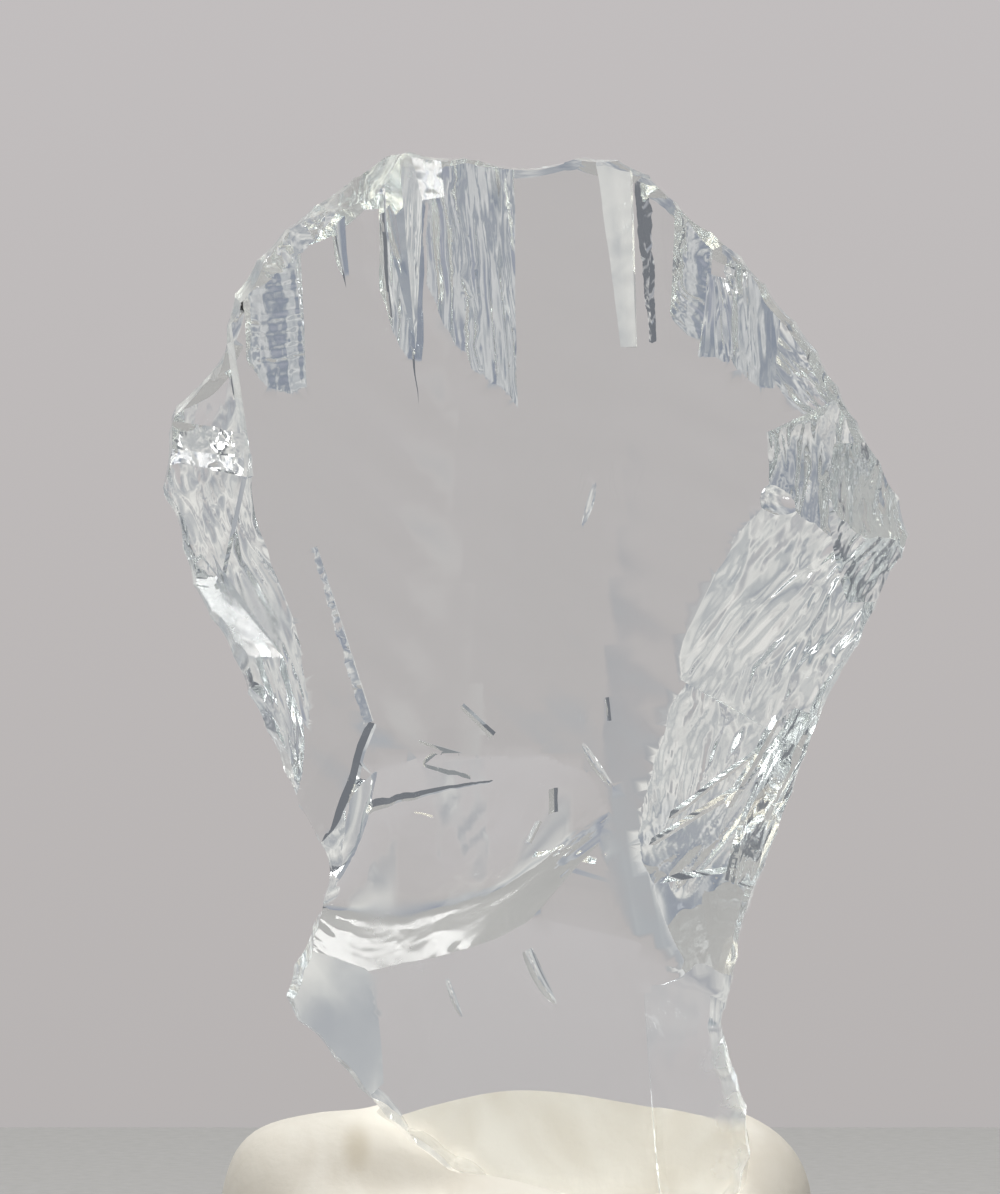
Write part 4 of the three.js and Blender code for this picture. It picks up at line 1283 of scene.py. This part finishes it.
# Lobes and dents: direction from the centre, height in millimetres and angular width in degrees.
PUTTY_LOBES = [
    ((-0.85, -0.3, 0.70), 2.6, 22), ((0.85, 0.15, 0.62), 2.0, 24), ((0.2, 0.8, 0.75), 1.8, 38),
    ((-0.5, -0.75, 0.7), -2.2, 16), ((0.25, -1, 0.25), 1.0, 34), ((0.75, -0.7, 0.75), -2.6, 30),
    ((1, 0.3, 0.35), 0.9, 30), ((-0.8, 0.7, 0.4), -1.0, 28), ((0.1, -0.75, 0.8), -3.2, 36),
    ((-0.35, -1, 0.35), 0.7, 16), ((0.55, -0.95, 0.5), 0.8, 14), ((0.0, 0.75, 0.9), 0.9, 30),
]
PUTTY_RINGS, PUTTY_SPOKES = 90, 200


def putty_body():
    """A squashed ball with lobes, pressed flat where it sits on the table."""
    polar = np.linspace(0, math.pi, PUTTY_RINGS + 1)[1:-1]
    round_about = np.linspace(0, 2 * math.pi, PUTTY_SPOKES, endpoint=False)
    polar, round_about = (grid.reshape(-1) for grid in np.meshgrid(polar, round_about, indexing="ij"))
    east, north = np.sin(polar) * np.cos(round_about), np.sin(polar) * np.sin(round_about)
    ways = np.vstack([[0, 0, 1], np.stack([east, north, np.cos(polar)], -1), [0, 0, -1]])
    swell = np.zeros(len(ways))
    for towards, lobe_height, width in PUTTY_LOBES:
        towards = np.array(towards) / np.linalg.norm(towards)
        angle = np.degrees(np.arccos(np.clip(ways @ towards, -1, 1)))
        swell += lobe_height * np.exp(-((angle / width) ** 2))
    rng = np.random.default_rng(8)
    kneading = lattice_noise(ways[:, 0] * 4.2 + ways[:, 2] * 2.0, ways[:, 1] * 4.2 + ways[:, 2] * 1.3, rng)
    swell += 0.35 * (kneading - 0.7)
    points = np.array(PUTTY_CENTRE) + ways * np.array(PUTTY_RADII) + ways * swell[:, None]
    points[:, 2] = np.maximum(points[:, 2], 0)
    last = len(points) - 1
    faces = []
    for ring in range(PUTTY_RINGS - 2):
        for spoke in range(PUTTY_SPOKES):
            following = (spoke + 1) % PUTTY_SPOKES
            upper, lower = 1 + ring * PUTTY_SPOKES, 1 + (ring + 1) * PUTTY_SPOKES
            faces.append((upper + spoke, lower + spoke, lower + following, upper + following))
    for spoke in range(PUTTY_SPOKES):
        following = (spoke + 1) % PUTTY_SPOKES
        faces.append((0, 1 + spoke, 1 + following))
        faces.append((last, last - PUTTY_SPOKES + following, last - PUTTY_SPOKES + spoke))
    putty = bpy.data.objects.new("putty", solid_mesh("putty", points, faces))
    bpy.context.scene.collection.objects.link(putty)
    return putty


putty = putty_body()
print("putty:", len(putty.data.polygons), "faces before the socket is cut")

# %% [markdown]
# ## The socket
#
# The glass made its own socket when it was pushed in, so the tool is a cast of the glass's foot. The cast is
# rounded, because putty doesn't follow sharp splinters, and slightly swollen, so that the two surfaces don't
# lie in each other, which would show as speckles in the glass.

# %% Socket for the glass
CAST_LOW, CAST_HIGH = (-40.0, -20.0, -5.0), (40.0, 20.0, 15.0)  # the part of the glass that is cast
CAST_CELL = 0.4
CAST_SWELL = 0.32


def foot_cast(glass):
    """The foot of the glass as a slightly swollen, rounded block."""
    cast = bpy.data.objects.new("foot_cast", glass.data.copy())
    bpy.context.scene.collection.objects.link(cast)
    keep = bpy.data.objects.new("keep", solid_mesh("keep", *box(CAST_LOW, CAST_HIGH)))
    bpy.context.scene.collection.objects.link(keep)
    below = cast.modifiers.new("below", "BOOLEAN")
    below.operation, below.solver, below.object = "INTERSECT", "MANIFOLD", keep
    rounded = cast.modifiers.new("rounded", "REMESH")
    rounded.mode, rounded.voxel_size = "VOXEL", CAST_CELL * MM
    swollen = cast.modifiers.new("swollen", "DISPLACE")
    swollen.strength, swollen.mid_level = CAST_SWELL * MM, 0.0
    graph = bpy.context.evaluated_depsgraph_get()
    mesh = bpy.data.meshes.new_from_object(cast.evaluated_get(graph))
    cast.modifiers.clear()
    cast.data = mesh
    bpy.data.objects.remove(keep)
    return cast


cut(putty, [foot_cast(slab)])
crumbs = largest_piece(putty.data)
print("putty with its socket:", len(putty.data.polygons), "triangles,", crumbs, "crumbs dropped")


# %% [markdown]
# ## Putty finish
#
# Kneaded putty is matt and off-white, with faint warmer streaks where it was folded, a fine skin, and a brown
# mark in the fold at the front left that is partly a grubby stain and partly painted shade in that crease.
# The streaks are noise on Object coordinates, the skin is a small bump, and the mark is a soft stretched ball
# placed once. Colour could be painted, but then it would need a texture image.

# %% Putty finish
# A brown mark in the fold between the left lobe and the body: partly a grubby stain, partly painted shade
# where the crease lies in shadow.
STAIN_AND_SHADE_PLACE = (-9.0, -7.0, 9.4)
STAIN_AND_SHADE_REACH = 1.6
STAIN_AND_SHADE_STRETCH = (1.3, 0.1, 0.8)  # the smaller, the longer the stain and its painted shade on that axis


def putty_material():
    material = new_material("white_putty")
    tree = material.node_tree
    place = add_node(tree, "ShaderNodeTexCoord").outputs["Object"]
    kneaded = add_node(tree, "ShaderNodeTexNoise", Scale=140.0, Detail=3.0, Distortion=1.2)
    tree.links.new(place, kneaded.inputs["Vector"])
    cream = add_node(tree, "ShaderNodeValToRGB")
    set_ramp(cream.color_ramp, [(0.3, (0.61, 0.56, 0.48)), (0.7, (0.70, 0.66, 0.59))])
    clean = feed(tree, cream, kneaded.outputs["Fac"])
    # The mark in the front-left fold: a brown stain mixed with painted shade for the crease's shadow.
    centred = add_node(tree, "ShaderNodeVectorMath", operation="SUBTRACT")
    offset = feed(tree, centred, place, Vector(STAIN_AND_SHADE_PLACE) * MM)
    offset = feed(tree, add_node(tree, "ShaderNodeVectorMath", operation="MULTIPLY"), offset, STAIN_AND_SHADE_STRETCH)
    distance = add_node(tree, "ShaderNodeVectorMath", operation="LENGTH")
    tree.links.new(offset, distance.inputs[0])
    edge = add_node(tree, "ShaderNodeMapRange", interpolation_type="SMOOTHSTEP")
    dirt_and_shade = feed(tree, edge, distance.outputs["Value"], 0.3 * MM, STAIN_AND_SHADE_REACH * MM, 0.5, 0.0)
    colour = feed(tree, add_node(tree, "ShaderNodeMix", data_type="RGBA"), dirt_and_shade, clean, (0.42, 0.35, 0.24, 1))
    fine = add_node(tree, "ShaderNodeTexNoise", Scale=1400.0, Detail=4.0)
    tree.links.new(place, fine.inputs["Vector"])
    bump = add_node(tree, "ShaderNodeBump", Strength=0.25, Distance=0.0002)
    tree.links.new(fine.outputs["Fac"], bump.inputs["Height"])
    surface = add_node(tree, "ShaderNodeBsdfPrincipled", Roughness=0.62)
    tree.links.new(colour, surface.inputs["Base Color"])
    tree.links.new(bump.outputs["Normal"], surface.inputs["Normal"])
    output = add_node(tree, "ShaderNodeOutputMaterial")
    tree.links.new(surface.outputs["BSDF"], output.inputs["Surface"])
    return material


putty.data.materials.clear()
putty.data.materials.append(putty_material())
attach(putty, "root")
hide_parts("putty_stand")
